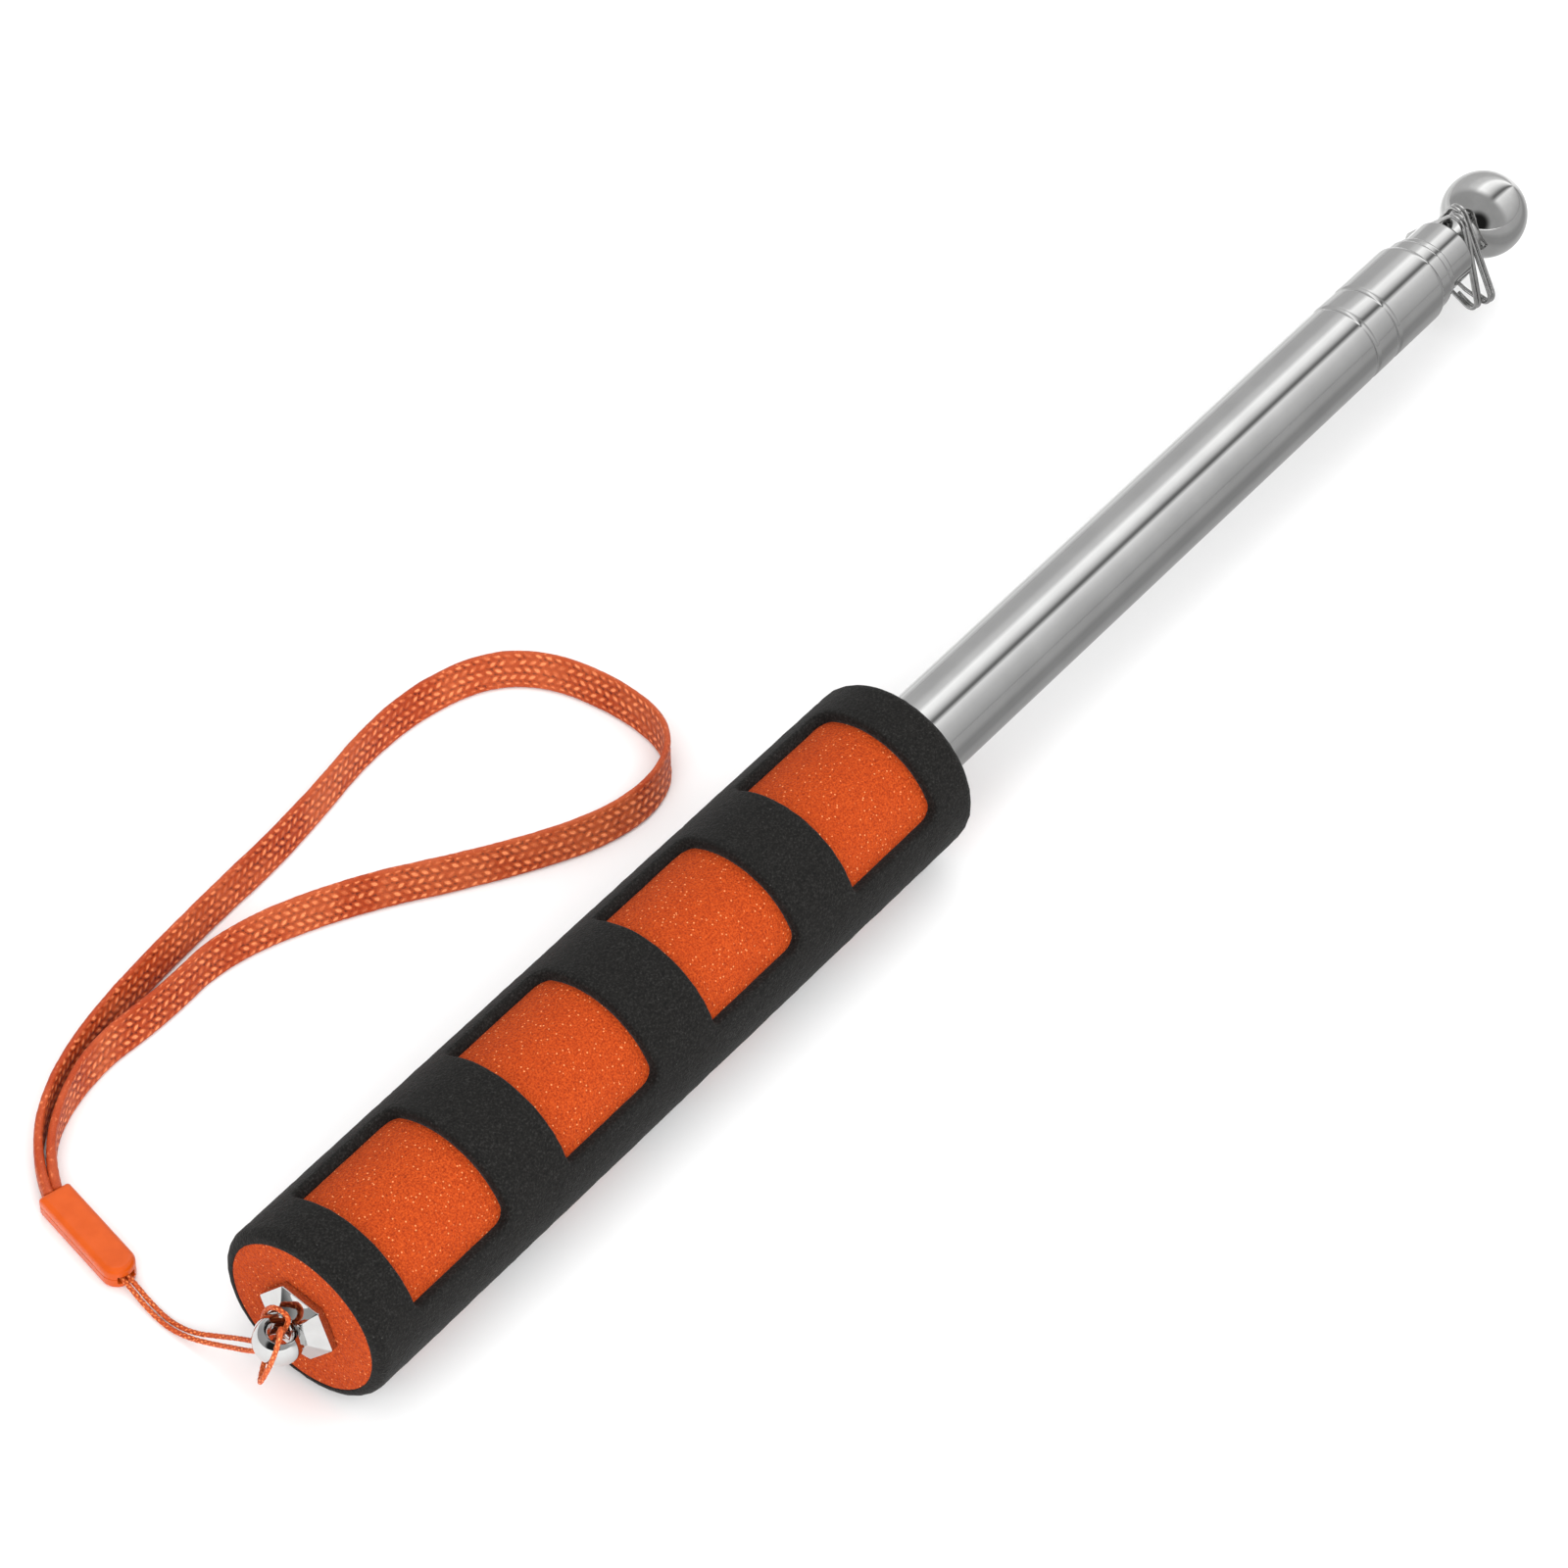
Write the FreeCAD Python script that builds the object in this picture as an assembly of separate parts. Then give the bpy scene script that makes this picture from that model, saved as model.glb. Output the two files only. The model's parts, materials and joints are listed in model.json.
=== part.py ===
import FreeCAD, Part
import math
import os

# Telescopic hand flagpole, closed up and lying on its foam grip, with its wrist strap
# laid out beside it.  Millimetres, +Z up, the pole along +X towards the ball tip.
# A "station" is a distance along the pole from the butt face of the grip.  The finished
# parts are moved along X so that the middle of the pole's length is at X = 0.

V = FreeCAD.Vector
os.makedirs("parts", exist_ok=True)

# ---------------------------------------------------------------- driving dimensions
# Grip: an orange foam core inside a black foam skin with rows of windows
grip_length = 152.0
grip_radius = 16.28
foam_flat_depth = 0.08              # how far the pole's weight presses the skin flat below
core_radius = 14.2
skin_edge_radius = 1.9
window_length = 22.8
window_pitch = 36.8
window_first = 9.4
windows_in_a_row = 4
window_arc = 112.0                  # degrees round the grip
window_rows = (-19.0, 161.0)        # degrees from straight up, positive towards +Y
window_corner = 2.0

# Telescopic tubes, outermost first
tube_radius = (8.0, 7.3, 6.8, 6.3)
tube_wall = (0.35, 0.30, 0.30, 0.30)
tube_inner_end = (1.2, 14.0, 18.0, 22.0)
tube_mouth = (307.4, 310.5, 312.2, 318.85)
running_gap = 0.06                  # radial gap of every sliding fit
lip_wall = 0.12                     # thickness left at each rolled mouth
mouth_rounding = (2.5, 1.2, 0.9, 0.8)
last_mouth_radius = 5.75
groove_stations = (285.4, 292.3)    # the two rolled grooves that hold the mouth bush
groove_depth = 0.2
groove_half_width = 0.6
sleeve_length = 12.0
sleeve_offset = 1.0
sleeve_slit = 1.2
collar_length = 1.2

# Tip: plug, ball and two flag rings
tip_neck_radius = 4.0
tip_stud_radius = 2.0
tip_stud_length = 5.0
ball_radius = 8.15
ball_station = 332.0
ring_wire_radius = 0.4
ring_side = 22.4                    # between the sharp corners of the wire's centre line
ring_corner = 2.2
ring_turn_gap = 0.04
ring_top = 7.3                      # from the pole's axis up to the top of the centre line
ring_stations = (321.3, 323.1)
ring_yaw = -14.0
ring_pitch = -2.0
ring_swings = (12.0, -2.0)          # how far each ring has swung round the neck, degrees

# Butt end: chrome cap with a ball eye
cap_base_radius = 7.4               # out to the corners
cap_base_thickness = 1.4
cap_crown_radius = 4.0
cap_crown_height = 1.8
cap_sides = 6
cap_corner_angle = 19.0             # degrees from straight up, towards +Y
cap_neck_radius = 5.9               # where the cap passes through the foam's end wall
cap_spigot_length = 9.0
eye_radius = 4.15
eye_station = -5.4
eye_hole_radius = 2.0
eye_hole_tilt = -15.0               # degrees about the pole

# Wrist strap, its clamp and the thin cord that ties the clamp to the eye
strap_width = 6.6
strap_thickness = 1.2
clamp_length = 21.2
clamp_width = 5.9
clamp_height = 4.2
clamp_back = (2.8, 55.8)            # station and Y of the end where the strap enters
clamp_heading = -104.2              # degrees from +X to the nose's direction
clamp_edge = 0.7
clamp_slot = (3.2, 1.5, 3.0)        # width, height and depth of the slot in the nose
cord_radius = 0.43

# Route of the strap's centre line on the table, clamp to clamp (station, Y)
strap_route = (
    (2.0, 56.0), (4.8, 61.0), (13.0, 68.5), (32.0, 74.5), (60.0, 77.2), (87.0, 78.3),
    (115.0, 83.0), (134.0, 79.5), (143.0, 71.0), (145.6, 56.0), (143.0, 42.0),
    (133.5, 35.5), (119.0, 37.0), (101.0, 47.0), (81.0, 61.3), (60.0, 70.0),
    (44.0, 69.0), (28.5, 70.3), (14.0, 66.0), (6.4, 60.0), (3.6, 55.6),
)

# Route of the thin cord (station, Y, Z): clamp nose to the eye, up through its hole,
# once round the ball as a loose hitch, and back down the hole to the clamp
cord_route = (
    (-2.0, 39.2, 1.9), (-3.3, 34.4, 1.7), (-4.5, 29.4, 0.8), (-5.3, 24.6, 0.6),
    (-5.3, 19.9, 1.4), (-5.15, 15.2, 3.4), (-5.35, 10.5, 6.2), (-5.7, 6.0, 9.0),
    (-5.9, 2.6, 12.0), (-5.9, 0.4, 15.5), (-5.8, -0.7, 18.7), (-6.1, -1.7, 21.0),
    (-7.7, -2.6, 20.6), (-9.3, -2.8, 18.2), (-10.2, -2.0, 15.0), (-10.8, -0.9, 12.0),
    (-10.2, 0.1, 10.3), (-8.7, 1.2, 9.7), (-6.8, 2.5, 9.2), (-4.8, 3.6, 9.1),
    (-3.78, 5.15, 10.84), (-3.68, 4.94, 14.73), (-3.68, 4.2, 18.2),
    (-3.78, 2.31, 20.82), (-4.08, -0.21, 21.77), (-4.2, -1.6, 21.0),
    (-4.7, -0.9, 18.7), (-4.7, 0.4, 15.5), (-4.5, 2.4, 12.4), (-4.4, 5.8, 10.2),
    (-3.95, 10.2, 7.3), (-3.75, 14.9, 4.1), (-4.3, 19.6, 1.8), (-4.3, 24.4, 0.8),
    (-3.5, 29.1, 0.9), (-2.35, 34.0, 1.7), (-1.05, 38.9, 1.9),
)

axis_height = grip_radius - foam_flat_depth
middle_station = (ball_station + ball_radius + eye_station - eye_radius) / 2.0


# ---------------------------------------------------------------- helpers
def turned(*steps):
    """A solid turned about the pole's axis.  Each step is (station, radius) for a
    straight line, or (station, radius, station, radius) for an arc through a point."""
    edges = []
    here = V(steps[0][0], 0, steps[0][1])
    first = here
    for step in steps[1:] + (steps[0],):
        there = V(step[-2], 0, step[-1])
        if (there - here).Length < 1e-7:
            continue
        if len(step) == 4:
            edges.append(Part.Arc(here, V(step[0], 0, step[1]), there).toShape())
        else:
            edges.append(Part.LineSegment(here, there).toShape())
        here = there
    assert (here - first).Length < 1e-7
    solid = Part.Face(Part.Wire(edges)).revolve(V(0, 0, 0), V(1, 0, 0), 360)
    return solid.translate(V(0, 0, axis_height))


def bored(start, end, outer, inner):
    """A plain ring or tube between two stations."""
    return turned((start, inner), (end, inner), (end, outer), (start, outer))


def rounded_path(points, radii):
    """Straight runs joined by tangent arcs, one radius for each inner point."""
    edges = []
    here = points[0]
    for before, corner, after, radius in zip(points, points[1:], points[2:], radii):
        back = (before - corner).normalize()
        ahead = (after - corner).normalize()
        half_turn = (math.pi - back.getAngle(ahead)) / 2.0
        reach = radius * math.tan(half_turn)
        inward = (back + ahead).normalize() * radius * (1.0 / math.cos(half_turn) - 1.0)
        enter = corner + back * reach
        leave = corner + ahead * reach
        edges.append(Part.LineSegment(here, enter).toShape())
        edges.append(Part.Arc(enter, corner + inward, leave).toShape())
        here = leave
    edges.append(Part.LineSegment(here, points[-1]).toShape())
    return Part.Wire(edges)


def easy_radii(points):
    """The largest radii that the runs of a route allow: 0.45 of the shorter run."""
    radii = []
    for before, corner, after in zip(points, points[1:], points[2:]):
        run = min((corner - before).Length, (after - corner).Length)
        half_turn = (corner - before).getAngle(after - corner) / 2.0
        radii.append(0.45 * run / math.tan(half_turn))
    return radii


def round_bar(points, radii, bar_radius):
    """A round bar swept along a path of runs and arcs."""
    path = rounded_path(points, radii)
    section = Part.Wire(Part.makeCircle(bar_radius, points[0], points[1] - points[0]))
    return path.makePipeShell([section], True, False), path.Length


def flat_band(points, radii, thickness, width):
    """A band standing on its edge: a route in the table's plane, thickened sideways."""
    def side(offset):
        shifted = []
        here = points[0]
        for before, corner, after, radius in zip(points, points[1:], points[2:], radii):
            run_in = (corner - before).normalize()
            run_out = (after - corner).normalize()
            half_turn = run_in.getAngle(run_out) / 2.0
            left_turn = run_in.cross(run_out).z > 0
            left_in = V(-run_in.y, run_in.x, 0)
            left_out = V(-run_out.y, run_out.x, 0)
            centre_side = 1.0 if left_turn else -1.0
            enter = corner - run_in * radius * math.tan(half_turn)
            leave = corner + run_out * radius * math.tan(half_turn)
            centre = enter + left_in * radius * centre_side
            own_radius = radius - offset * centre_side
            middle = centre + (corner - centre).normalize() * own_radius
            shifted.append((here + left_in * offset, enter + left_in * offset,
                            middle, leave + left_out * offset))
            here = leave
        last = (points[-1] - here).normalize()
        left_last = V(-last.y, last.x, 0)
        edges = []
        for run_start, enter, middle, leave in shifted:
            edges.append(Part.LineSegment(run_start, enter).toShape())
            edges.append(Part.Arc(enter, middle, leave).toShape())
        edges.append(Part.LineSegment(here + left_last * offset,
                                      points[-1] + left_last * offset).toShape())
        return edges

    one = side(thickness / 2.0)
    other = side(-thickness / 2.0)
    caps = [Part.LineSegment(a, b).toShape() for a, b in (
        (one[0].Vertexes[0].Point, other[0].Vertexes[0].Point),
        (one[-1].Vertexes[-1].Point, other[-1].Vertexes[-1].Point))]
    outline = Part.Wire(Part.__sortEdges__(one + other + caps))
    return Part.Face(outline).extrude(V(0, 0, width))


# ---------------------------------------------------------------- grip
def foam_core():
    """A thick foam tube whose end wall at the butt laps over the outer tube's end."""
    bore = tube_radius[0] + 0.02
    wall = tube_inner_end[0] - 0.01
    return turned((0.0, cap_neck_radius + 0.02), (wall, cap_neck_radius + 0.02), (wall, bore),
                  (grip_length, bore), (grip_length, core_radius), (0.0, core_radius))


def window_cutter(start, row_angle):
    """One window: a sector of a ring with rounded corners."""
    outer = grip_radius + 1.0
    depth = outer - core_radius
    end = start + window_length
    flat = Part.Face(Part.makePolygon([V(start, 0, core_radius), V(end, 0, core_radius),
                                       V(end, 0, outer), V(start, 0, outer),
                                       V(start, 0, core_radius)]))
    flat.rotate(V(0, 0, 0), V(1, 0, 0), -(row_angle - window_arc / 2.0))
    sector = flat.revolve(V(0, 0, 0), V(1, 0, 0), -window_arc)
    radial = [edge for edge in sector.Edges
              if abs(edge.Length - depth) < 1e-6
              and abs(edge.Vertexes[0].Point.x - edge.Vertexes[-1].Point.x) < 1e-6]
    return sector.makeFillet(window_corner, radial).translate(V(0, 0, axis_height))


def foam_skin():
    edge = skin_edge_radius
    bevel = edge * (1.0 - math.sqrt(0.5))
    shoulder = grip_radius - edge
    skin = turned(
        (0.0, core_radius), (grip_length, core_radius), (grip_length, shoulder),
        (grip_length - bevel, grip_radius - bevel, grip_length - edge, grip_radius),
        (edge, grip_radius), (bevel, grip_radius - bevel, 0.0, shoulder))
    cutters = [window_cutter(window_first + number * window_pitch, row_angle)
               for row_angle in window_rows for number in range(windows_in_a_row)]
    table = Part.makeBox(grip_length + 2.0, 2.0 * grip_radius, 1.0, V(-1.0, -grip_radius, -1.0))
    return skin.cut(cutters + [table])


# ---------------------------------------------------------------- telescopic tubes
def rolled_tube(number):
    """A thin tube whose mouth is rolled in to guide the next one."""
    outer = tube_radius[number]
    bore = outer - tube_wall[number]
    start, mouth = tube_inner_end[number], tube_mouth[number]
    if number + 1 < len(tube_radius):
        mouth_bore = tube_radius[number + 1] + running_gap
        mouth_outer = mouth_bore + lip_wall
    else:
        mouth_bore, mouth_outer = last_mouth_radius - lip_wall, last_mouth_radius
    rounding = mouth_rounding[number]
    drop = outer - mouth_outer
    length = math.sqrt(rounding ** 2 - (rounding - drop) ** 2)
    half_angle = math.asin(length / rounding) / 2.0
    begin = mouth - length
    arc_middle = (begin + rounding * math.sin(half_angle),
                  outer - rounding * (1.0 - math.cos(half_angle)))
    inside = [(start, bore)]
    outside = [(mouth, mouth_outer), arc_middle + (begin, outer)]
    if number == 0:
        for station in groove_stations:
            low, high = station - groove_half_width, station + groove_half_width
            inside += [(low, bore), (station, bore - groove_depth, high, bore)]
        for station in reversed(groove_stations):
            low, high = station - groove_half_width, station + groove_half_width
            outside += [(high, outer), (station, outer - groove_depth, low, outer)]
    inside += [(begin - 0.4, bore), (begin, mouth_bore), (mouth, mouth_bore)]
    return turned(*inside, *outside, (start, outer))


def friction_sleeve(number):
    """The slit spring sleeve on the inner end of a sliding tube."""
    start = tube_inner_end[number] + sleeve_offset
    bore = tube_radius[number - 1] - tube_wall[number - 1]
    sleeve = bored(start, start + sleeve_length, bore - running_gap,
                   tube_radius[number] + 0.01)
    slit = Part.makeBox(sleeve_length + 2, sleeve_slit, 2 * bore,
                        V(start - 1, -sleeve_slit / 2, axis_height))
    return sleeve.cut(slit)


def stop_collar(number):
    """The ring crimped on the inner end of a sliding tube, behind its sleeve."""
    end = tube_inner_end[number]
    bore = tube_radius[number - 1] - tube_wall[number - 1]
    return bored(end - collar_length, end, bore - 2 * running_gap,
                 tube_radius[number] - 1.5)


def mouth_bush():
    """The guide bush held between the two rolled grooves of the outer tube."""
    bore = tube_radius[0] - tube_wall[0]
    low = groove_stations[0] + groove_half_width
    high = groove_stations[1] - groove_half_width
    return bored(low, high, bore, tube_radius[1] + running_gap)


# ---------------------------------------------------------------- tip
def tip_plug():
    """Turned plug: spigot in the last tube, flared shoulder, neck and stud."""
    mouth = tube_mouth[-1]
    spigot = last_mouth_radius - lip_wall
    ball_back = ball_station - math.sqrt(ball_radius ** 2 - tip_neck_radius ** 2)
    return turned(
        (mouth - 8.0, 0.0), (ball_back + tip_stud_length, 0.0),
        (ball_back + tip_stud_length, tip_stud_radius), (ball_back + 0.3, tip_stud_radius),
        (ball_back, tip_neck_radius), (mouth + 0.8, tip_neck_radius),
        (mouth + 0.25, tip_neck_radius + 0.45, mouth + 0.1, spigot), (mouth - 8.0, spigot))


def tip_ball():
    """Chrome ball, with a seat for the neck and a blind hole for the stud."""
    ball_back = ball_station - math.sqrt(ball_radius ** 2 - tip_neck_radius ** 2)
    ball = Part.makeSphere(ball_radius, V(ball_station, 0, axis_height))
    seat = turned(
        (ball_back - 3.0, 0.0), (ball_back + tip_stud_length, 0.0),
        (ball_back + tip_stud_length, tip_stud_radius), (ball_back + 0.3, tip_stud_radius),
        (ball_back, tip_neck_radius), (ball_back - 3.0, tip_neck_radius))
    return ball.cut(seat)


def ring_frame(number):
    """Turns a ring's own axes (normal along X) to the way it hangs on the neck."""
    about = FreeCAD.Rotation
    return (about(V(0, 0, 1), ring_yaw)
            * about(V(0, 1, 0), ring_pitch)
            * about(V(1, 0, 0), ring_swings[number]))


def flag_ring(number):
    """A triangular ring of springy wire wound twice, its two turns side by side."""
    height = ring_side * math.sqrt(3.0) / 2.0
    centre = ring_top + ring_corner - 2.0 * height / 3.0
    reach = 2.0 * height / 3.0
    offset = ring_wire_radius + ring_turn_gap / 2.0
    corners = [(reach * math.sin(math.radians(angle)),
                centre + reach * math.cos(math.radians(angle)))
               for angle in (120.0, 0.0, -120.0)]
    (right_y, low_z), _, (left_y, _) = corners

    def on_base(share, side):
        """A point on the base of the triangle, at a share of the way to its start."""
        return V(side * offset, left_y + share * (right_y - left_y), low_z)

    first_turn = [V(-offset, y, z) for y, z in corners]
    second_turn = [V(offset, y, z) for y, z in corners]
    points = ([on_base(0.70, -1)] + first_turn + [on_base(0.36, -1), on_base(0.64, 1)]
              + second_turn + [on_base(0.30, 1)])
    bends = [ring_corner] * 3 + [6.0, 6.0] + [ring_corner] * 3
    ring, _ = round_bar(points, bends, ring_wire_radius)
    ring.Placement = FreeCAD.Placement(V(ring_stations[number], 0, axis_height),
                                       ring_frame(number))
    return ring


# ---------------------------------------------------------------- butt cap and eye
def polygon(station, radius):
    """A regular polygon square to the pole, with one corner at the cap's corner angle."""
    angles = [math.radians(cap_corner_angle + side * 360.0 / cap_sides)
              for side in range(cap_sides)]
    points = [V(station, radius * math.sin(angle), axis_height + radius * math.cos(angle))
              for angle in angles]
    return Part.makePolygon(points + points[:1])


def end_cap():
    """Cast chrome cap: spigot in the tube, six-sided base, faceted crown and ball eye."""
    bore = tube_radius[0] - tube_wall[0]
    tube_end = tube_inner_end[0] + 0.02
    crown_foot = -cap_base_thickness
    crown_top = crown_foot - cap_crown_height
    base = Part.makeLoft([polygon(0.0, cap_base_radius),
                          polygon(crown_foot, cap_base_radius)], True, True)
    spigot = turned((-0.1, 0.0), (-0.1, cap_neck_radius), (tube_end, cap_neck_radius),
                    (tube_end, bore - 0.01), (cap_spigot_length - 0.6, bore - 0.01),
                    (cap_spigot_length, bore - 0.6), (cap_spigot_length, 0.0))
    crown = Part.makeLoft([polygon(crown_foot, cap_base_radius),
                           polygon(crown_top, cap_crown_radius)], True, True)
    eye_centre = V(eye_station, 0, axis_height)
    ball = Part.makeSphere(eye_radius, eye_centre)
    cap = base.fuse([spigot, crown, ball]).removeSplitter()
    hole_axis = V(0, math.sin(math.radians(eye_hole_tilt)), math.cos(math.radians(eye_hole_tilt)))
    hole = Part.makeCylinder(eye_hole_radius, 4 * eye_radius,
                             eye_centre - hole_axis * 2 * eye_radius, hole_axis)
    cap = cap.cut(hole)
    rims = [edge for edge in cap.Edges
            if all(abs((vertex.Point - eye_centre).Length - eye_radius) < 1e-4
                   for vertex in edge.Vertexes)
            and abs((edge.CenterOfMass - eye_centre).cross(hole_axis).Length) < 0.5]
    return cap.makeFillet(0.35, rims)


# ---------------------------------------------------------------- strap, clamp and cord
def in_clamp_place(shape):
    """From the clamp's own axes (X towards its nose) to where it lies."""
    shape.rotate(V(0, 0, 0), V(0, 0, 1), clamp_heading)
    return shape.translate(V(clamp_back[0], clamp_back[1], 0))


def clamp_body():
    half = clamp_width / 2.0
    nose = clamp_length - half
    outline = Part.Wire([
        Part.LineSegment(V(0, half, 0), V(0, -half, 0)).toShape(),
        Part.LineSegment(V(0, -half, 0), V(nose, -half, 0)).toShape(),
        Part.Arc(V(nose, -half, 0), V(clamp_length, 0, 0), V(nose, half, 0)).toShape(),
        Part.LineSegment(V(nose, half, 0), V(0, half, 0)).toShape()])
    body = Part.Face(outline).extrude(V(0, 0, clamp_height))
    long_edges = [edge for edge in body.Edges
                  if abs(edge.Vertexes[0].Point.z - edge.Vertexes[-1].Point.z) < 1e-6]
    body = body.makeFillet(clamp_edge, long_edges)
    width, height, depth = clamp_slot
    slot = Part.makeBox(depth + 1, width, height,
                        V(clamp_length - depth, -width / 2, clamp_height / 2 - height / 2 - 0.2))
    return body.cut(slot)


def clamp_half(upper):
    """One of the two moulded halves that grip the strap's ends and the cord's ends."""
    seam = clamp_height / 2.0
    side = Part.makeBox(clamp_length + 2, clamp_width + 2, seam,
                        V(-1, -clamp_width / 2 - 1, seam if upper else 0.0))
    return in_clamp_place(clamp_body().common(side))


def wrist_strap():
    points = [V(x, y, 0) for x, y in strap_route]
    radii = easy_radii(points)
    band = flat_band(points, radii, strap_thickness, strap_width)
    length = rounded_path(points, radii).Length
    report("wrist_strap", length, strap_thickness * strap_width, band, radii)
    return band


def strap_cord():
    points = [V(*point) for point in cord_route]
    radii = easy_radii(points)
    cord, length = round_bar(points, radii, cord_radius)
    report("strap_cord", length, math.pi * cord_radius ** 2, cord, radii)
    return cord


def report(name, length, section, solid, radii):
    """Prints a cord's length, its bend radii, and its volume against section x length."""
    print(name, "length %.1f mm" % length,
          "volume ratio %.4f" % (solid.Volume / (section * length)),
          "radii", [round(radius, 1) for radius in radii])


# ---------------------------------------------------------------- all parts
def all_parts():
    parts = {
        "foam_core": foam_core(),
        "foam_skin": foam_skin(),
        "outer_tube": rolled_tube(0),
        "mouth_bush": mouth_bush(),
        "end_cap": end_cap(),
    }
    for number in range(1, len(tube_radius)):
        section = "section_%d_" % (number + 1)
        parts[section + "tube"] = rolled_tube(number)
        parts[section + "friction_sleeve"] = friction_sleeve(number)
        parts[section + "stop_collar"] = stop_collar(number)
    parts["tip_plug"] = tip_plug()
    parts["tip_ball"] = tip_ball()
    parts["flag_ring_inner"] = flag_ring(0)
    parts["flag_ring_outer"] = flag_ring(1)
    parts["clamp_upper"] = clamp_half(True)
    parts["clamp_lower"] = clamp_half(False)
    parts["wrist_strap"] = wrist_strap()
    parts["strap_cord"] = strap_cord()
    return parts


for name, shape in all_parts().items():
    shape.translate(V(-middle_station, 0, 0))
    assert shape.isValid(), name
    shape.exportStep("parts/" + name + ".step")
    print(name, "volume %.1f" % shape.Volume, "solids", len(shape.Solids))
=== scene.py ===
import json
import math

import bmesh
import bpy
from mathutils import Matrix, Vector, noise


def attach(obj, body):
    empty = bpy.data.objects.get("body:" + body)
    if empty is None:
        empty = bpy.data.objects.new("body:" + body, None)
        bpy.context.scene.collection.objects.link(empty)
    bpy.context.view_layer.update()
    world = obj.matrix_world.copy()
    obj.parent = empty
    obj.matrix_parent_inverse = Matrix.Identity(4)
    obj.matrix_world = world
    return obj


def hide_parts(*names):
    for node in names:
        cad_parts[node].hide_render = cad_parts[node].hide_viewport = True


# Telescopic hand flagpole on a pale table.  The numbers below are millimetres: stations
# run along the pole from the butt face of the grip, Z is up from the table, and at()
# turns them into the frame's metres.

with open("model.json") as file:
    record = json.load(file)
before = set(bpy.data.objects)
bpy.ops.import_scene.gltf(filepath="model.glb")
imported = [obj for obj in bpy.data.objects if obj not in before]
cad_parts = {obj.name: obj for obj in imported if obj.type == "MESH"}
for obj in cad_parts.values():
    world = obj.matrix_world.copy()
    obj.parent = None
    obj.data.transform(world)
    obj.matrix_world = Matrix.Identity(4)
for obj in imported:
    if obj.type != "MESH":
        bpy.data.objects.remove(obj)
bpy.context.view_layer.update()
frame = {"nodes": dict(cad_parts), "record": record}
nodes = frame["nodes"]

MM = 0.001
MIDDLE_STATION = 165.3
AXIS_HEIGHT = 16.2
GRIP_LENGTH = 152.0
GRIP_RADIUS = 16.2
CORE_RADIUS = 14.2
WELD = 1e-7

scene = bpy.context.scene
scene.view_settings.view_transform = "Standard"


def at(station, y, z):
    return Vector(((station - MIDDLE_STATION) * MM, y * MM, z * MM))


def round_the_pole(station, angle, radius):
    """A point at an angle (radians from the top, positive towards +Y) round the pole."""
    return at(station, radius * math.sin(angle), AXIS_HEIGHT + radius * math.cos(angle))


def shown(name, data):
    piece = bpy.data.objects.new(name, data)
    scene.collection.objects.link(piece)
    return piece


# ---------------------------------------------------------------- camera
camera_data = bpy.data.cameras.new("camera")
camera_data.sensor_width = 36.0
camera_data.lens = 133.9
camera = shown("camera", camera_data)
camera.location = (-0.56986, -0.40658, 0.71071)
camera.rotation_mode = "QUATERNION"
camera.rotation_quaternion = Vector((0.5547, 0.4293, -0.7127)).to_track_quat("-Z", "Y")
scene.camera = camera

# ---------------------------------------------------------------- cord routes
STRAP_ROUTE = (
    (2.0, 56.0), (4.8, 61.0), (13.0, 68.5), (32.0, 74.5), (60.0, 77.2), (87.0, 78.3),
    (115.0, 83.0), (134.0, 79.5), (143.0, 71.0), (145.6, 56.0), (143.0, 42.0),
    (133.5, 35.5), (119.0, 37.0), (101.0, 47.0), (81.0, 61.3), (60.0, 70.0),
    (44.0, 69.0), (28.5, 70.3), (14.0, 66.0), (6.4, 60.0), (3.6, 55.6),
)
STRAP_WIDTH = 6.6
STRAP_PINCHED = 3.6
STRAP_THICKNESS = 1.2
STRAP_LEAN = 0.55
STRAP_LEAN_WAY = Vector((0.79, 0.61, 0.0))
STRAP_ROWS = 5.0
STRAP_PITCH = 1.75
STRAP_RELIEF = 0.15
STRAP_STEP = 0.26
STRAP_FACE_STEPS = 26
STRAP_EDGE_STEPS = 8
PINCH_REACH = 26.0
PINCH_THICKENING = 0.55

CORD_ROUTE = (
    (-2.0, 39.2, 1.9), (-3.3, 34.4, 1.7), (-4.5, 29.4, 0.8), (-5.3, 24.6, 0.6),
    (-5.3, 19.9, 1.4), (-5.15, 15.2, 3.4), (-5.35, 10.5, 6.2), (-5.7, 6.0, 9.0),
    (-5.9, 2.6, 12.0), (-5.9, 0.4, 15.5), (-5.8, -0.7, 18.7), (-6.1, -1.7, 21.0),
    (-7.7, -2.6, 20.6), (-9.3, -2.8, 18.2), (-10.2, -2.0, 15.0), (-10.8, -0.9, 12.0),
    (-10.2, 0.1, 10.3), (-8.7, 1.2, 9.7), (-6.8, 2.5, 9.2), (-4.8, 3.6, 9.1),
    (-3.78, 5.15, 10.84), (-3.68, 4.94, 14.73), (-3.68, 4.2, 18.2),
    (-3.78, 2.31, 20.82), (-4.08, -0.21, 21.77), (-4.2, -1.6, 21.0),
    (-4.7, -0.9, 18.7), (-4.7, 0.4, 15.5), (-4.5, 2.4, 12.4), (-4.4, 5.8, 10.2),
    (-3.95, 10.2, 7.3), (-3.75, 14.9, 4.1), (-4.3, 19.6, 1.8), (-4.3, 24.4, 0.8),
    (-3.5, 29.1, 0.9), (-2.35, 34.0, 1.7), (-1.05, 38.9, 1.9),
)
CORD_RADIUS = 0.43
CORD_STEP = 0.12
CORD_SIDES = 20
CORD_PITCH = 0.75


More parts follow.
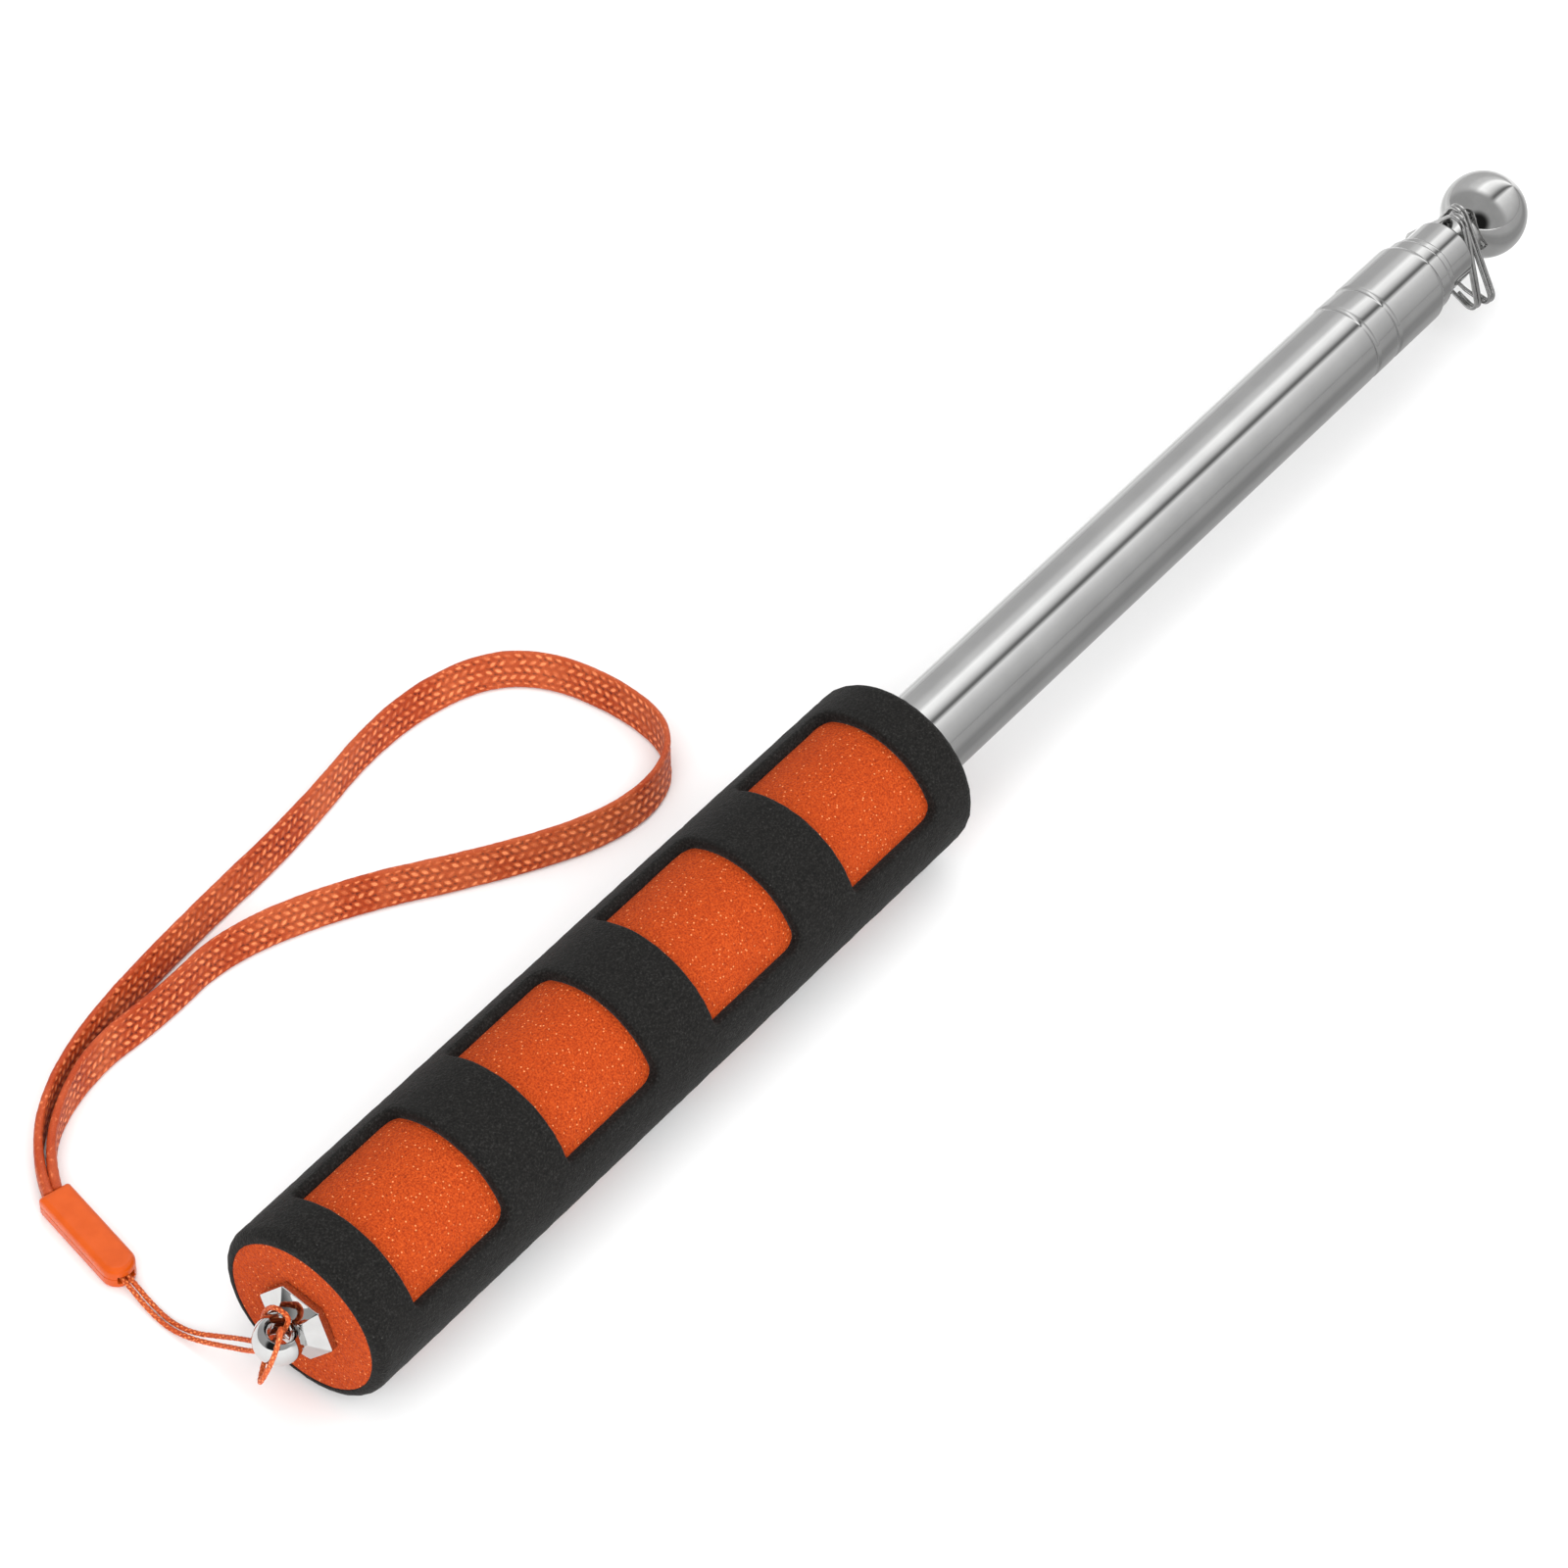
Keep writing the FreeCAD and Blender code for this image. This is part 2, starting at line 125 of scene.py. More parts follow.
def smooth_line(points):
    """The points along the NURBS spline that has the route's points as controls."""
    curve = bpy.data.curves.new("route", "CURVE")
    curve.dimensions = "3D"
    curve.resolution_u = 24
    spline = curve.splines.new("NURBS")
    spline.points.add(len(points) - 1)
    for control, point in zip(spline.points, points):
        control.co = (*at(*point), 1.0)
    spline.order_u = 3
    spline.use_endpoint_u = True
    holder = bpy.data.objects.new("route", curve)
    mesh = bpy.data.meshes.new_from_object(holder)
    line = [vertex.co.copy() for vertex in mesh.vertices]
    bpy.data.objects.remove(holder)
    bpy.data.curves.remove(curve)
    bpy.data.meshes.remove(mesh)
    return line


def stepped(line, step):
    """The same line with evenly spaced points."""
    lengths = [0.0]
    for a, b in zip(line, line[1:]):
        lengths.append(lengths[-1] + (b - a).length)
    count = max(2, round(lengths[-1] / step))
    points = []
    part = 0
    for number in range(count + 1):
        wanted = lengths[-1] * number / count
        while part < len(line) - 2 and lengths[part + 1] < wanted:
            part += 1
        share = (wanted - lengths[part]) / max(lengths[part + 1] - lengths[part], 1e-12)
        points.append(line[part].lerp(line[part + 1], min(1.0, share)))
    return points, lengths[-1]


def heading(points, number):
    """From the point before to the point after, or from the point itself at an end."""
    return points[min(number + 1, len(points) - 1)] - points[max(number - 1, 0)]


def carried_frames(points, first_side):
    """A sideways and an upward direction at every point, carried along without twist."""
    side = first_side
    frames = []
    for number in range(len(points)):
        ahead = heading(points, number).normalized()
        side = (side - ahead * side.dot(ahead)).normalized()
        frames.append((side, ahead.cross(side)))
    return frames


def mesh_piece(name, rows, closed=True, capped=True, shade=None):
    """A skin over rows of points, each row a loop round the piece."""
    mesh = bpy.data.meshes.new(name)
    width = len(rows[0])
    vertices = [point for row in rows for point in row]
    faces = []
    for row in range(len(rows) - 1):
        for column in range(width if closed else width - 1):
            a = row * width + column
            b = row * width + (column + 1) % width
            faces.append((a, b, b + width, a + width))
    if capped:
        faces.append(tuple(range(width - 1, -1, -1)))
        faces.append(tuple(range(len(vertices) - width, len(vertices))))
    mesh.from_pydata(vertices, [], faces)
    if shade is not None:
        layer = mesh.attributes.new("relief", "FLOAT", "POINT")
        layer.data.foreach_set("value", shade)
    mesh.shade_smooth()
    mesh.validate()
    return shown(name, mesh)


def joined(piece):
    """The piece with its coinciding points welded and its faces turned outwards."""
    graph = bmesh.new()
    graph.from_mesh(piece.data)
    bmesh.ops.remove_doubles(graph, verts=graph.verts, dist=WELD)
    bmesh.ops.recalc_face_normals(graph, faces=graph.faces)
    graph.to_mesh(piece.data)
    graph.free()
    return piece


def crisp(piece, angle):
    """A joined piece, smooth but for the edges sharper than the angle in degrees."""
    joined(piece)
    piece.data.shade_smooth()
    piece.data.set_sharp_from_angle(angle=math.radians(angle))
    return piece


def braid(across, along, slant=0.55):
    """Height from 0 to 1 of a braid whose strands show as rows of slanting flecks."""
    row = math.floor(across)
    up = across - row - 0.5
    shifted = along + 0.5 * (row % 2)
    ahead = shifted - math.floor(shifted) - 0.5 - (slant if row % 2 else -slant) * up
    ahead -= round(ahead)
    size = 1.0 + 0.16 * noise.noise(Vector((row * 3.1, math.floor(shifted) * 1.7, 5.0)))
    dome = 1.0 - abs(ahead / (0.50 * size)) ** 2.8 - abs(up / 0.52) ** 2.8
    return dome ** 0.62 if dome > 0.0 else 0.0


def strap_section(width, thickness):
    """The strap's section: (thickness, height, outward thickness, outward height)."""
    half = (width - thickness) / 2.0
    edge = thickness / 2.0
    outline = []
    for sign in (1, -1):
        for step in range(STRAP_FACE_STEPS):
            height = sign * half * (2.0 * step / STRAP_FACE_STEPS - 1.0)
            outline.append((sign * edge, height, sign, 0.0))
        for step in range(STRAP_EDGE_STEPS):
            angle = math.pi * step / STRAP_EDGE_STEPS
            outline.append((sign * edge * math.cos(angle),
                            sign * (half + edge * math.sin(angle)),
                            sign * math.cos(angle), sign * math.sin(angle)))
    return outline


def wrist_strap():
    """A soft flat braid standing on its edge.  It is pinched narrow and thick at the clamp,
    and leans over most where its broad side faces along STRAP_LEAN_WAY."""
    line, length = stepped(smooth_line([(x, y, STRAP_WIDTH / 2.0) for x, y in STRAP_ROUTE]),
                           STRAP_STEP * MM)
    rows, shade = [], []
    for number, point in enumerate(line):
        ahead = heading(line, number)
        ahead.z = 0.0
        ahead.normalize()
        side = Vector((-ahead.y, ahead.x, 0.0))
        along = number * length / (len(line) - 1) / MM
        to_end = min(along, length / MM - along)
        free = min(1.0, to_end / PINCH_REACH)
        free = free * free * (3.0 - 2.0 * free)
        width = STRAP_PINCHED + (STRAP_WIDTH - STRAP_PINCHED) * free
        lean = STRAP_LEAN * free * side.dot(STRAP_LEAN_WAY)
        lean += 0.12 * free * noise.noise(Vector((along * 0.03, 0.0, 7.0)))
        across = side * math.cos(lean) - Vector((0, 0, math.sin(lean)))
        upward = side * math.sin(lean) + Vector((0, 0, math.cos(lean)))
        centre = Vector((point.x, point.y, (width / 2.0) * MM * (0.35 + 0.65 * math.cos(lean))
                         + (STRAP_WIDTH - width) * 0.12 * MM))
        thickening = 1.0 + PINCH_THICKENING - PINCH_THICKENING * free
        section = strap_section(width, STRAP_THICKNESS * thickening)
        row = []
        for index, (thick, height, out_thick, out_high) in enumerate(section):
            face_side = index // (STRAP_FACE_STEPS + STRAP_EDGE_STEPS)
            place = index % (STRAP_FACE_STEPS + STRAP_EDGE_STEPS)
            rows_up = (height / width + 0.5) * STRAP_ROWS
            # rise is the braid's height: it lifts the surface, and through the relief attribute
            # it is painted as shade in the gaps and highlight on the flecks; on the rounded edges
            # it gives a middle to light painted tone.
            rise = braid(rows_up + 4.0 * face_side, along / STRAP_PITCH + 0.37 * face_side)
            if place >= STRAP_FACE_STEPS:
                rise = 0.74 + 0.3 * noise.noise(Vector((along * 1.4, place * 0.5, face_side)))
            wave = 0.05 * noise.noise(Vector((along * 0.3, height * 0.5, 3.0 + face_side)))
            lift = STRAP_RELIEF * (rise - 1.0) + wave
            row.append(centre + across * ((thick + out_thick * lift) * MM)
                       + upward * ((height + out_high * lift) * MM))
            shade.append(rise)
        rows.append(row)
    piece = mesh_piece("strap_braid", rows, shade=shade)
    return piece


def thin_cord():
    """The round cord, doubled through the eye, with a fine braid."""
    line, length = stepped(smooth_line(CORD_ROUTE), CORD_STEP * MM)
    frames = carried_frames(line, Vector((1.0, 0.0, 0.0)))
    rows, shade = [], []
    for number, (point, (side, up)) in enumerate(zip(line, frames)):
        along = number * length / (len(line) - 1) / MM
        row = []
        for index in range(CORD_SIDES):
            angle = 2.0 * math.pi * index / CORD_SIDES
            # rise is the cord's braid height: it sets the radius, and through the relief
            # attribute it is painted as shade in the gaps and highlight on the flecks.
            rise = braid(index * 4.0 / CORD_SIDES + along * 0.6, along / CORD_PITCH)
            radius = CORD_RADIUS * (0.76 + 0.26 * rise)
            row.append(point + (side * math.cos(angle) + up * math.sin(angle)) * (radius * MM))
            shade.append(rise)
        rows.append(row)
    piece = mesh_piece("strap_cord_braid", rows, shade=shade)
    return piece


strap = wrist_strap()
cord = thin_cord()


# ---------------------------------------------------------------- materials
class Shade:
    """A material built from a few named nodes."""

    def __init__(self, name, colour, roughness, metallic=0.0, **more):
        self.material = bpy.data.materials.new(name)
        self.material.use_nodes = True
        self.tree = self.material.node_tree
        self.surface = self.tree.nodes["Principled BSDF"]
        self.set("Base Color", (*colour, 1.0))
        self.set("Roughness", roughness)
        self.set("Metallic", metallic)
        for socket, value in more.items():
            self.set(socket.replace("_", " "), value)
        self.place = self.tree.nodes.new("ShaderNodeTexCoord").outputs["Object"]
        self.bumped = None

    def set(self, socket, value):
        self.surface.inputs[socket].default_value = value

    def node(self, kind, **settings):
        made = self.tree.nodes.new(kind)
        for key, value in settings.items():
            if key in made.inputs:
                made.inputs[key].default_value = value
            else:
                setattr(made, key, value)
        return made

    def link(self, output, target):
        self.tree.links.new(output, target)

    def stretched(self, scale):
        mapping = self.node("ShaderNodeMapping")
        mapping.inputs["Scale"].default_value = scale
        self.link(self.place, mapping.inputs["Vector"])
        return mapping.outputs["Vector"]

    def grain(self, scale, detail=3.0, roughness=0.55, place=None):
        made = self.node("ShaderNodeTexNoise")
        made.inputs["Scale"].default_value = scale
        made.inputs["Detail"].default_value = detail
        made.inputs["Roughness"].default_value = roughness
        self.link(place or self.place, made.inputs["Vector"])
        return made.outputs["Fac"]

    def cells(self, scale, feature="F1"):
        made = self.node("ShaderNodeTexVoronoi")
        made.feature = feature
        made.inputs["Scale"].default_value = scale
        self.link(self.place, made.inputs["Vector"])
        return made.outputs["Distance"]

    def mapped(self, value, low, high, to_low, to_high):
        made = self.node("ShaderNodeMapRange")
        for key, number in (("From Min", low), ("From Max", high),
                            ("To Min", to_low), ("To Max", to_high)):
            made.inputs[key].default_value = number
        self.link(value, made.inputs["Value"])
        return made.outputs["Result"]

    def ramp(self, value, stops):
        made = self.node("ShaderNodeValToRGB")
        elements = made.color_ramp.elements
        for index, (position, colour) in enumerate(stops):
            element = elements[index] if index < 2 else elements.new(position)
            element.position = position
            element.color = (*colour, 1.0)
        self.link(value, made.inputs["Fac"])
        return made.outputs["Color"]

    def mixed(self, share, first, second, blend="MIX"):
        made = self.node("ShaderNodeMix")
        made.data_type = "RGBA"
        made.blend_type = blend
        for socket, source in ((0, share), (6, first), (7, second)):
            if isinstance(source, bpy.types.NodeSocket):
                self.link(source, made.inputs[socket])
            elif socket == 0:
                made.inputs[0].default_value = source
            else:
                made.inputs[socket].default_value = (*source, 1.0)
        return made.outputs[2]

    def bump(self, height, distance, strength=1.0):
        made = self.node("ShaderNodeBump")
        made.inputs["Distance"].default_value = distance * MM
        made.inputs["Strength"].default_value = strength
        self.link(height, made.inputs["Height"])
        if self.bumped is not None:
            self.link(self.bumped, made.inputs["Normal"])
        self.bumped = made.outputs["Normal"]
        self.link(self.bumped, self.surface.inputs["Normal"])

    def colour(self, output):
        self.link(output, self.surface.inputs["Base Color"])

    def rough(self, output):
        self.link(output, self.surface.inputs["Roughness"])


def orange_foam():
    made = Shade("orange_foam", (0.46, 0.054, 0.007), 0.88, Specular_IOR_Level=0.12,
                 Sheen_Weight=0.02, Sheen_Roughness=0.5)
    fine = made.grain(3300.0, 2.0)
    patches = made.grain(110.0, 3.0)
    base = made.ramp(fine, ((0.30, (0.25, 0.024, 0.003)), (0.50, (0.42, 0.051, 0.007)),
                            (0.70, (0.54, 0.084, 0.014))))
    shaded = made.mixed(made.mapped(patches, 0.35, 0.65, 0.0, 0.18), base,
                        (0.36, 0.035, 0.005))
    # Painted shade: the foam's pits are darkened in colour, standing in for shade falling into
    # them.
    pore_shade = made.mapped(made.cells(1900.0), 0.10, 0.22, 0.55, 0.0)
    pore_shaded = made.mixed(pore_shade, shaded, (0.21, 0.017, 0.003))
    # Painted glints: tiny pale specks on the foam stand in for light catching its grain.
    glint_specks = made.mapped(made.cells(1050.0), 0.17, 0.11, 0.0, 0.75)
    made.colour(made.mixed(glint_specks, pore_shaded, (0.95, 0.36, 0.14)))
    made.rough(made.mapped(fine, 0.3, 0.7, 0.8, 0.95))
    made.bump(made.cells(1900.0), 0.20, 0.8)
    made.bump(fine, 0.14, 0.7)
    return made.material


def black_foam():
    made = Shade("black_foam", (0.012, 0.012, 0.012), 0.95, Specular_IOR_Level=0.18,
                 Sheen_Weight=0.05, Sheen_Roughness=0.4)
    fine = made.grain(2800.0, 3.0)
    base = made.ramp(fine, ((0.30, (0.004, 0.004, 0.004)), (0.52, (0.0105, 0.0100, 0.0092)),
                            (0.75, (0.030, 0.029, 0.028))))
    lint = made.mapped(made.cells(420.0), 0.055, 0.035, 0.0, 0.35)
    made.colour(made.mixed(lint, base, (0.13, 0.13, 0.125)))
    made.rough(made.mapped(fine, 0.3, 0.7, 0.85, 0.98))
    made.bump(made.grain(900.0, 4.0), 0.30, 0.6)
    made.bump(fine, 0.16, 0.8)
    return made.material


def polished_steel():
    made = Shade("polished_steel", (0.49, 0.49, 0.485), 0.07, 1.0)
    streaks = made.grain(1.0, 3.0, place=made.stretched((14.0, 2600.0, 2600.0)))
    smudges = made.grain(90.0, 3.0)
    made.colour(made.ramp(smudges, ((0.35, (0.47, 0.47, 0.467)), (0.65, (0.51, 0.51, 0.506)))))
    made.rough(made.mapped(made.mixed(0.5, streaks, smudges), 0.35, 0.65, 0.05, 0.10))
    made.bump(streaks, 0.003, 0.35)
    return made.material


def bright_chrome():
    made = Shade("bright_chrome", (0.54, 0.54, 0.535), 0.05, 1.0)
    smudges = made.grain(260.0, 4.0)
    made.colour(made.ramp(smudges, ((0.35, (0.51, 0.51, 0.505)), (0.65, (0.57, 0.57, 0.565)))))
    made.rough(made.mapped(smudges, 0.35, 0.7, 0.03, 0.08))
    made.bump(made.grain(500.0, 2.0), 0.004, 0.3)
    return made.material


def speckled(name, base, grain, tones, rough_from, rough_to, bump):
    """A material whose colour, roughness and bump all follow one fine grain."""
    colour, roughness, metallic = base
    made = Shade(name, colour, roughness, metallic)
    marks = made.grain(*grain)
    made.colour(made.ramp(marks, tones))
    made.rough(made.mapped(marks, *rough_from, *rough_to))
    made.bump(marks, *bump)
    return made.material


def ring_wire():
    return speckled("ring_wire", ((0.50, 0.50, 0.495), 0.10, 1.0), (1400.0, 3.0),
                    ((0.35, (0.44, 0.44, 0.437)), (0.65, (0.56, 0.56, 0.555))),
                    (0.35, 0.7), (0.07, 0.16), (0.006, 0.4))


def spring_brass():
    return speckled("spring_brass", ((0.60, 0.42, 0.16), 0.3, 1.0), (700.0, 4.0),
                    ((0.35, (0.50, 0.33, 0.11)), (0.65, (0.66, 0.47, 0.20))),
                    (0.3, 0.7), (0.22, 0.42), (0.01, 0.4))


def plain_steel():
    return speckled("plain_steel", ((0.45, 0.45, 0.46), 0.35, 1.0), (900.0, 4.0),
                    ((0.35, (0.38, 0.38, 0.39)), (0.65, (0.50, 0.50, 0.50))),
                    (0.3, 0.7), (0.28, 0.45), (0.01, 0.4))


def bush_plastic():
    return speckled("bush_plastic", ((0.03, 0.03, 0.032), 0.5, 0.0), (1200.0, 3.0),
                    ((0.3, (0.022, 0.022, 0.024)), (0.7, (0.04, 0.04, 0.042))),
                    (0.3, 0.7), (0.4, 0.6), (0.01, 0.4))


def orange_gloss():
    made = Shade("orange_gloss", (0.66, 0.095, 0.006), 0.14, Specular_IOR_Level=0.22,
                 Coat_Weight=0.08, Coat_Roughness=0.04)
    flow = made.grain(220.0, 3.0)
    made.colour(made.ramp(flow, ((0.35, (0.55, 0.075, 0.005)), (0.65, (0.61, 0.090, 0.009)))))
    made.rough(made.mapped(made.grain(1600.0, 2.0), 0.3, 0.7, 0.12, 0.24))
    made.bump(made.grain(420.0, 2.0), 0.02, 0.3)
    made.bump(made.grain(1500.0, 3.0), 0.004, 0.3)
    return made.material


def woven(name, dark, middle, light, fibre_scale):
    """Braided strands: the height attribute drives the colour as painted shade in the gaps
    between flecks and a painted highlight on their tops, with fine fibres over it.
    """
    made = Shade(name, middle, 0.48, Specular_IOR_Level=0.30, Sheen_Weight=0.03,
                 Sheen_Roughness=0.35)
    relief = made.node("ShaderNodeAttribute")
    relief.attribute_name = "relief"
    fibres = made.grain(fibre_scale, 3.0)
    flecks = made.grain(520.0, 1.0)
    patches = made.grain(90.0, 2.0)
    # Painted shade and highlight: the ramp darkens the low relief between flecks and lightens the
    # fleck tops.
    base = made.ramp(relief.outputs["Fac"], ((0.12, dark), (0.52, middle), (0.80, middle),
                                             (0.97, light)))
    dulled = made.mixed(made.mapped(flecks, 0.40, 0.54, 0.70, 0.0), base, middle)
    varied = made.mixed(made.mapped(fibres, 0.40, 0.7, 0.0, 0.35), dulled, dark)
    made.colour(made.mixed(made.mapped(patches, 0.4, 0.65, 0.0, 0.15), varied, light))
    made.rough(made.mapped(fibres, 0.3, 0.7, 0.38, 0.62))
    made.bump(fibres, 0.06, 0.7)
    return made.material


MATERIALS = {
    "orange_foam": orange_foam(),
    "black_foam": black_foam(),
    "polished_tube": polished_steel(),
    "bright_chrome": bright_chrome(),
    "ring_wire": ring_wire(),
    "spring_brass": spring_brass(),
    "plain_steel": plain_steel(),
    "bush_plastic": bush_plastic(),
    "orange_gloss": orange_gloss(),
    "orange_webbing": woven("orange_webbing", (0.11, 0.009, 0.002), (0.42, 0.050, 0.007),
                            (0.95, 0.29, 0.11), 4200.0),
    "orange_cord": woven("orange_cord", (0.15, 0.012, 0.002), (0.52, 0.066, 0.009),
                         (1.00, 0.32, 0.10), 5200.0),
}


def finish_piece(piece, body, slot, *replaced):
    piece.data.materials.clear()
    piece.data.materials.append(MATERIALS[slot])
    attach(piece, body)
    if replaced:
        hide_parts(*replaced)


finish_piece(strap, "handle", "orange_webbing", "wrist_strap")
finish_piece(cord, "handle", "orange_cord", "strap_cord")

for part in frame["record"]["subparts"]:
    node = nodes[part["node"]]
    for index in range(len(node.material_slots)):
        node.material_slots[index].material = MATERIALS[part["material_slot"]]


# ---------------------------------------------------------------- grip
WINDOW_LENGTH = 22.8
WINDOW_PITCH = 36.8
WINDOW_FIRST = 9.4
WINDOW_ARC = math.radians(112.0)
WINDOW_ROWS = (math.radians(-19.0), math.radians(161.0))
WINDOWS_IN_ROW = 4
BUTT_CORNER = 1.4
TIP_CORNER = 2.6
CELL_CORNER = 2.0
SKIN_EDGE = 0.55
SKIN_END_ROUNDING = 1.9
SKIN_INSIDE = CORE_RADIUS - 0.06
CORE_EDGE = 0.35
CORE_BORE = 8.03
CORE_NECK = 5.93
CORE_END_WALL = 1.18
CORE_SIDES = 120


def pulled_in(value, middle, distance):
    return value - math.copysign(distance, value - middle)


def window_loop(start, angle):
    """A window's outline and the outline of its cell on the grip, point for point, as
    (station, arc length) pairs with the direction that leads outwards."""
    low, high = start, start + WINDOW_LENGTH
    middle = (low + high) / 2.0
    half = WINDOW_ARC / 2.0 * GRIP_RADIUS
    gap = (WINDOW_PITCH - WINDOW_LENGTH) / 2.0
    cell_low, cell_high = low - gap, high + gap
    cell_half = math.pi / 2.0 * GRIP_RADIUS
    corners = (
        (high, half, TIP_CORNER, 0.0, cell_high, cell_half),
        (low, half, BUTT_CORNER, 90.0, cell_low, cell_half),
        (low, -half, BUTT_CORNER, 180.0, cell_low, -cell_half),
        (high, -half, TIP_CORNER, 270.0, cell_high, -cell_half),
    )
    centre = angle * GRIP_RADIUS
    inner, outward, outer = [], [], []
    turn_steps = 8
    for number, (x, t, radius, first, cell_x, cell_t) in enumerate(corners):
        middle_x, middle_t = pulled_in(x, middle, radius), pulled_in(t, 0.0, radius)
        inset_x, inset_t = pulled_in(x, middle, CELL_CORNER), pulled_in(t, 0.0, CELL_CORNER)
        for step in range(turn_steps + 1):
            turn = math.radians(first + 90.0 * step / turn_steps)
            direction = (math.cos(turn), math.sin(turn))
            inner.append((middle_x + radius * direction[0], middle_t + radius * direction[1]))
            outward.append(direction)
            share = 2.0 * step / turn_steps - 1.0
            if number % 2 == 0:
                along_x, along_t = max(0.0, share), max(0.0, -share)
            else:
                along_x, along_t = max(0.0, -share), max(0.0, share)
            outer.append((cell_x + (inset_x - cell_x) * along_x,
                          cell_t + (inset_t - cell_t) * along_t))
        after_x, after_t, after_radius = corners[(number + 1) % len(corners)][:3]
        next_x = pulled_in(after_x, middle, after_radius)
        next_t = pulled_in(after_t, 0.0, after_radius)
        next_inset_x = pulled_in(after_x, middle, CELL_CORNER)
        next_inset_t = pulled_in(after_t, 0.0, CELL_CORNER)
        run_steps = 14 if number % 2 == 0 else 22
        direction = outward[-1]
        for step in range(1, run_steps):
            share = step / run_steps
            if number % 2 == 0:
                along = middle_x + (next_x - middle_x) * share
                inner.append((along, t))
                outer.append((inset_x + (next_inset_x - inset_x) * share, cell_t))
            else:
                along = middle_t + (next_t - middle_t) * share
                inner.append((x, along))
                outer.append((cell_x, inset_t + (next_inset_t - inset_t) * share))
            outward.append(direction)
    return [[(x, centre + t) for x, t in loop] for loop in (inner, outer)] + [outward]


def foam_skin():
    """The black skin: a cylinder with soft-edged windows, closed inside against the core."""
    soft, edge, inside = SKIN_EDGE, SKIN_END_ROUNDING, SKIN_INSIDE
    graph = bmesh.new()

    def foam_point(x, arc, radius):
        angle = arc / GRIP_RADIUS
        place = round_the_pole(x, angle, radius)
        if radius > inside + 0.3:
            spot = place / MM
            radius += 0.07 * noise.noise(spot * 0.45) + 0.035 * noise.noise(spot * 1.7)
            x += 0.10 * noise.noise(spot * 0.9 + Vector((9, 0, 0)))
            angle += 0.006 * noise.noise(spot * 0.9 + Vector((0, 9, 0)))
        return graph.verts.new(round_the_pole(x, angle, radius))

    def stitched(loops):
        for first, second in zip(loops, loops[1:]):
            count = len(first)
            for index in range(count):
                after = (index + 1) % count
                graph.faces.new((first[index], first[after], second[after], second[index]))

    seams = {}

    def shared(kind, x, arc, radius):
        turn = round(arc / GRIP_RADIUS % (2.0 * math.pi), 5)
        key = (kind, round(x, 4), turn if turn < 6.2831 else 0.0)
        if key not in seams:
            seams[key] = foam_point(x, arc, radius)
        return seams[key]

    for row_angle in WINDOW_ROWS:
        for number in range(WINDOWS_IN_ROW):
            start = WINDOW_FIRST + number * WINDOW_PITCH
            inner, outer, outward = window_loop(start, row_angle)
            wall = list(zip(inner, outward))
            loops = [[foam_point(x, arc, inside) for x, arc in inner]]
            loops.append([foam_point(x, arc, CORE_RADIUS + 0.7) for x, arc in inner])
            for step in range(5):
                bend = math.radians(90.0 - 22.5 * step)
                out = soft * (1.0 - math.sin(bend))
                radius = GRIP_RADIUS - soft * (1.0 - math.cos(bend))
                loops.append([foam_point(x + dx * out, arc + dt * out, radius)
                              for (x, arc), (dx, dt) in wall])
            steps = 7
            for step in range(1, steps):
                share = step / steps
                loops.append([foam_point(x + dx * soft + (cx - x - dx * soft) * share,
                                         arc + dt * soft + (carc - arc - dt * soft) * share,
                                         GRIP_RADIUS)
                              for ((x, arc), (dx, dt)), (cx, carc) in zip(wall, outer)])
            loops.append([shared("skin", x, arc, GRIP_RADIUS) for x, arc in outer])
            stitched(loops)
            back = [loops[0]]
            for step in range(1, 4):
                share = step / 4
                back.append([foam_point(x + (cx - x) * share, arc + (carc - arc) * share, inside)
                             for (x, arc), (cx, carc) in zip(inner, outer)])
            back.append([shared("back", x, arc, inside) for x, arc in outer])
            stitched([loop[::-1] for loop in back])

    def rim(kind, station):
        return sorted((key[2], vertex) for key, vertex in seams.items()
                      if key[0] == kind and abs(key[1] - station) < 0.01)

    first_cell = WINDOW_FIRST - (WINDOW_PITCH - WINDOW_LENGTH) / 2.0
    last_cell = first_cell + WINDOWS_IN_ROW * WINDOW_PITCH
    for station, sign, end in ((first_cell, 1.0, 0.0), (last_cell, -1.0, GRIP_LENGTH)):
        outer_rim = rim("skin", station)
        inner_rim = rim("back", station)
        turns = [turn for turn, _ in outer_rim]
        loops = [[vertex for _, vertex in outer_rim]]
        for step in range(7):
            bend = math.radians(15.0 * step)
            x = end + sign * edge * (1.0 - math.sin(bend))
            radius = GRIP_RADIUS - edge * (1.0 - math.cos(bend))
            loops.append([foam_point(x, turn * GRIP_RADIUS, radius) for turn in turns])
        loops.append([foam_point(end, turn * GRIP_RADIUS, inside) for turn in turns])
        loops.append([vertex for _, vertex in inner_rim])
        stitched(loops if sign > 0 else [loop[::-1] for loop in loops])

    bmesh.ops.recalc_face_normals(graph, faces=graph.faces)
    mesh = bpy.data.meshes.new("grip_skin")
    graph.to_mesh(mesh)
    graph.free()
    mesh.shade_smooth()
    return shown("grip_skin", mesh)


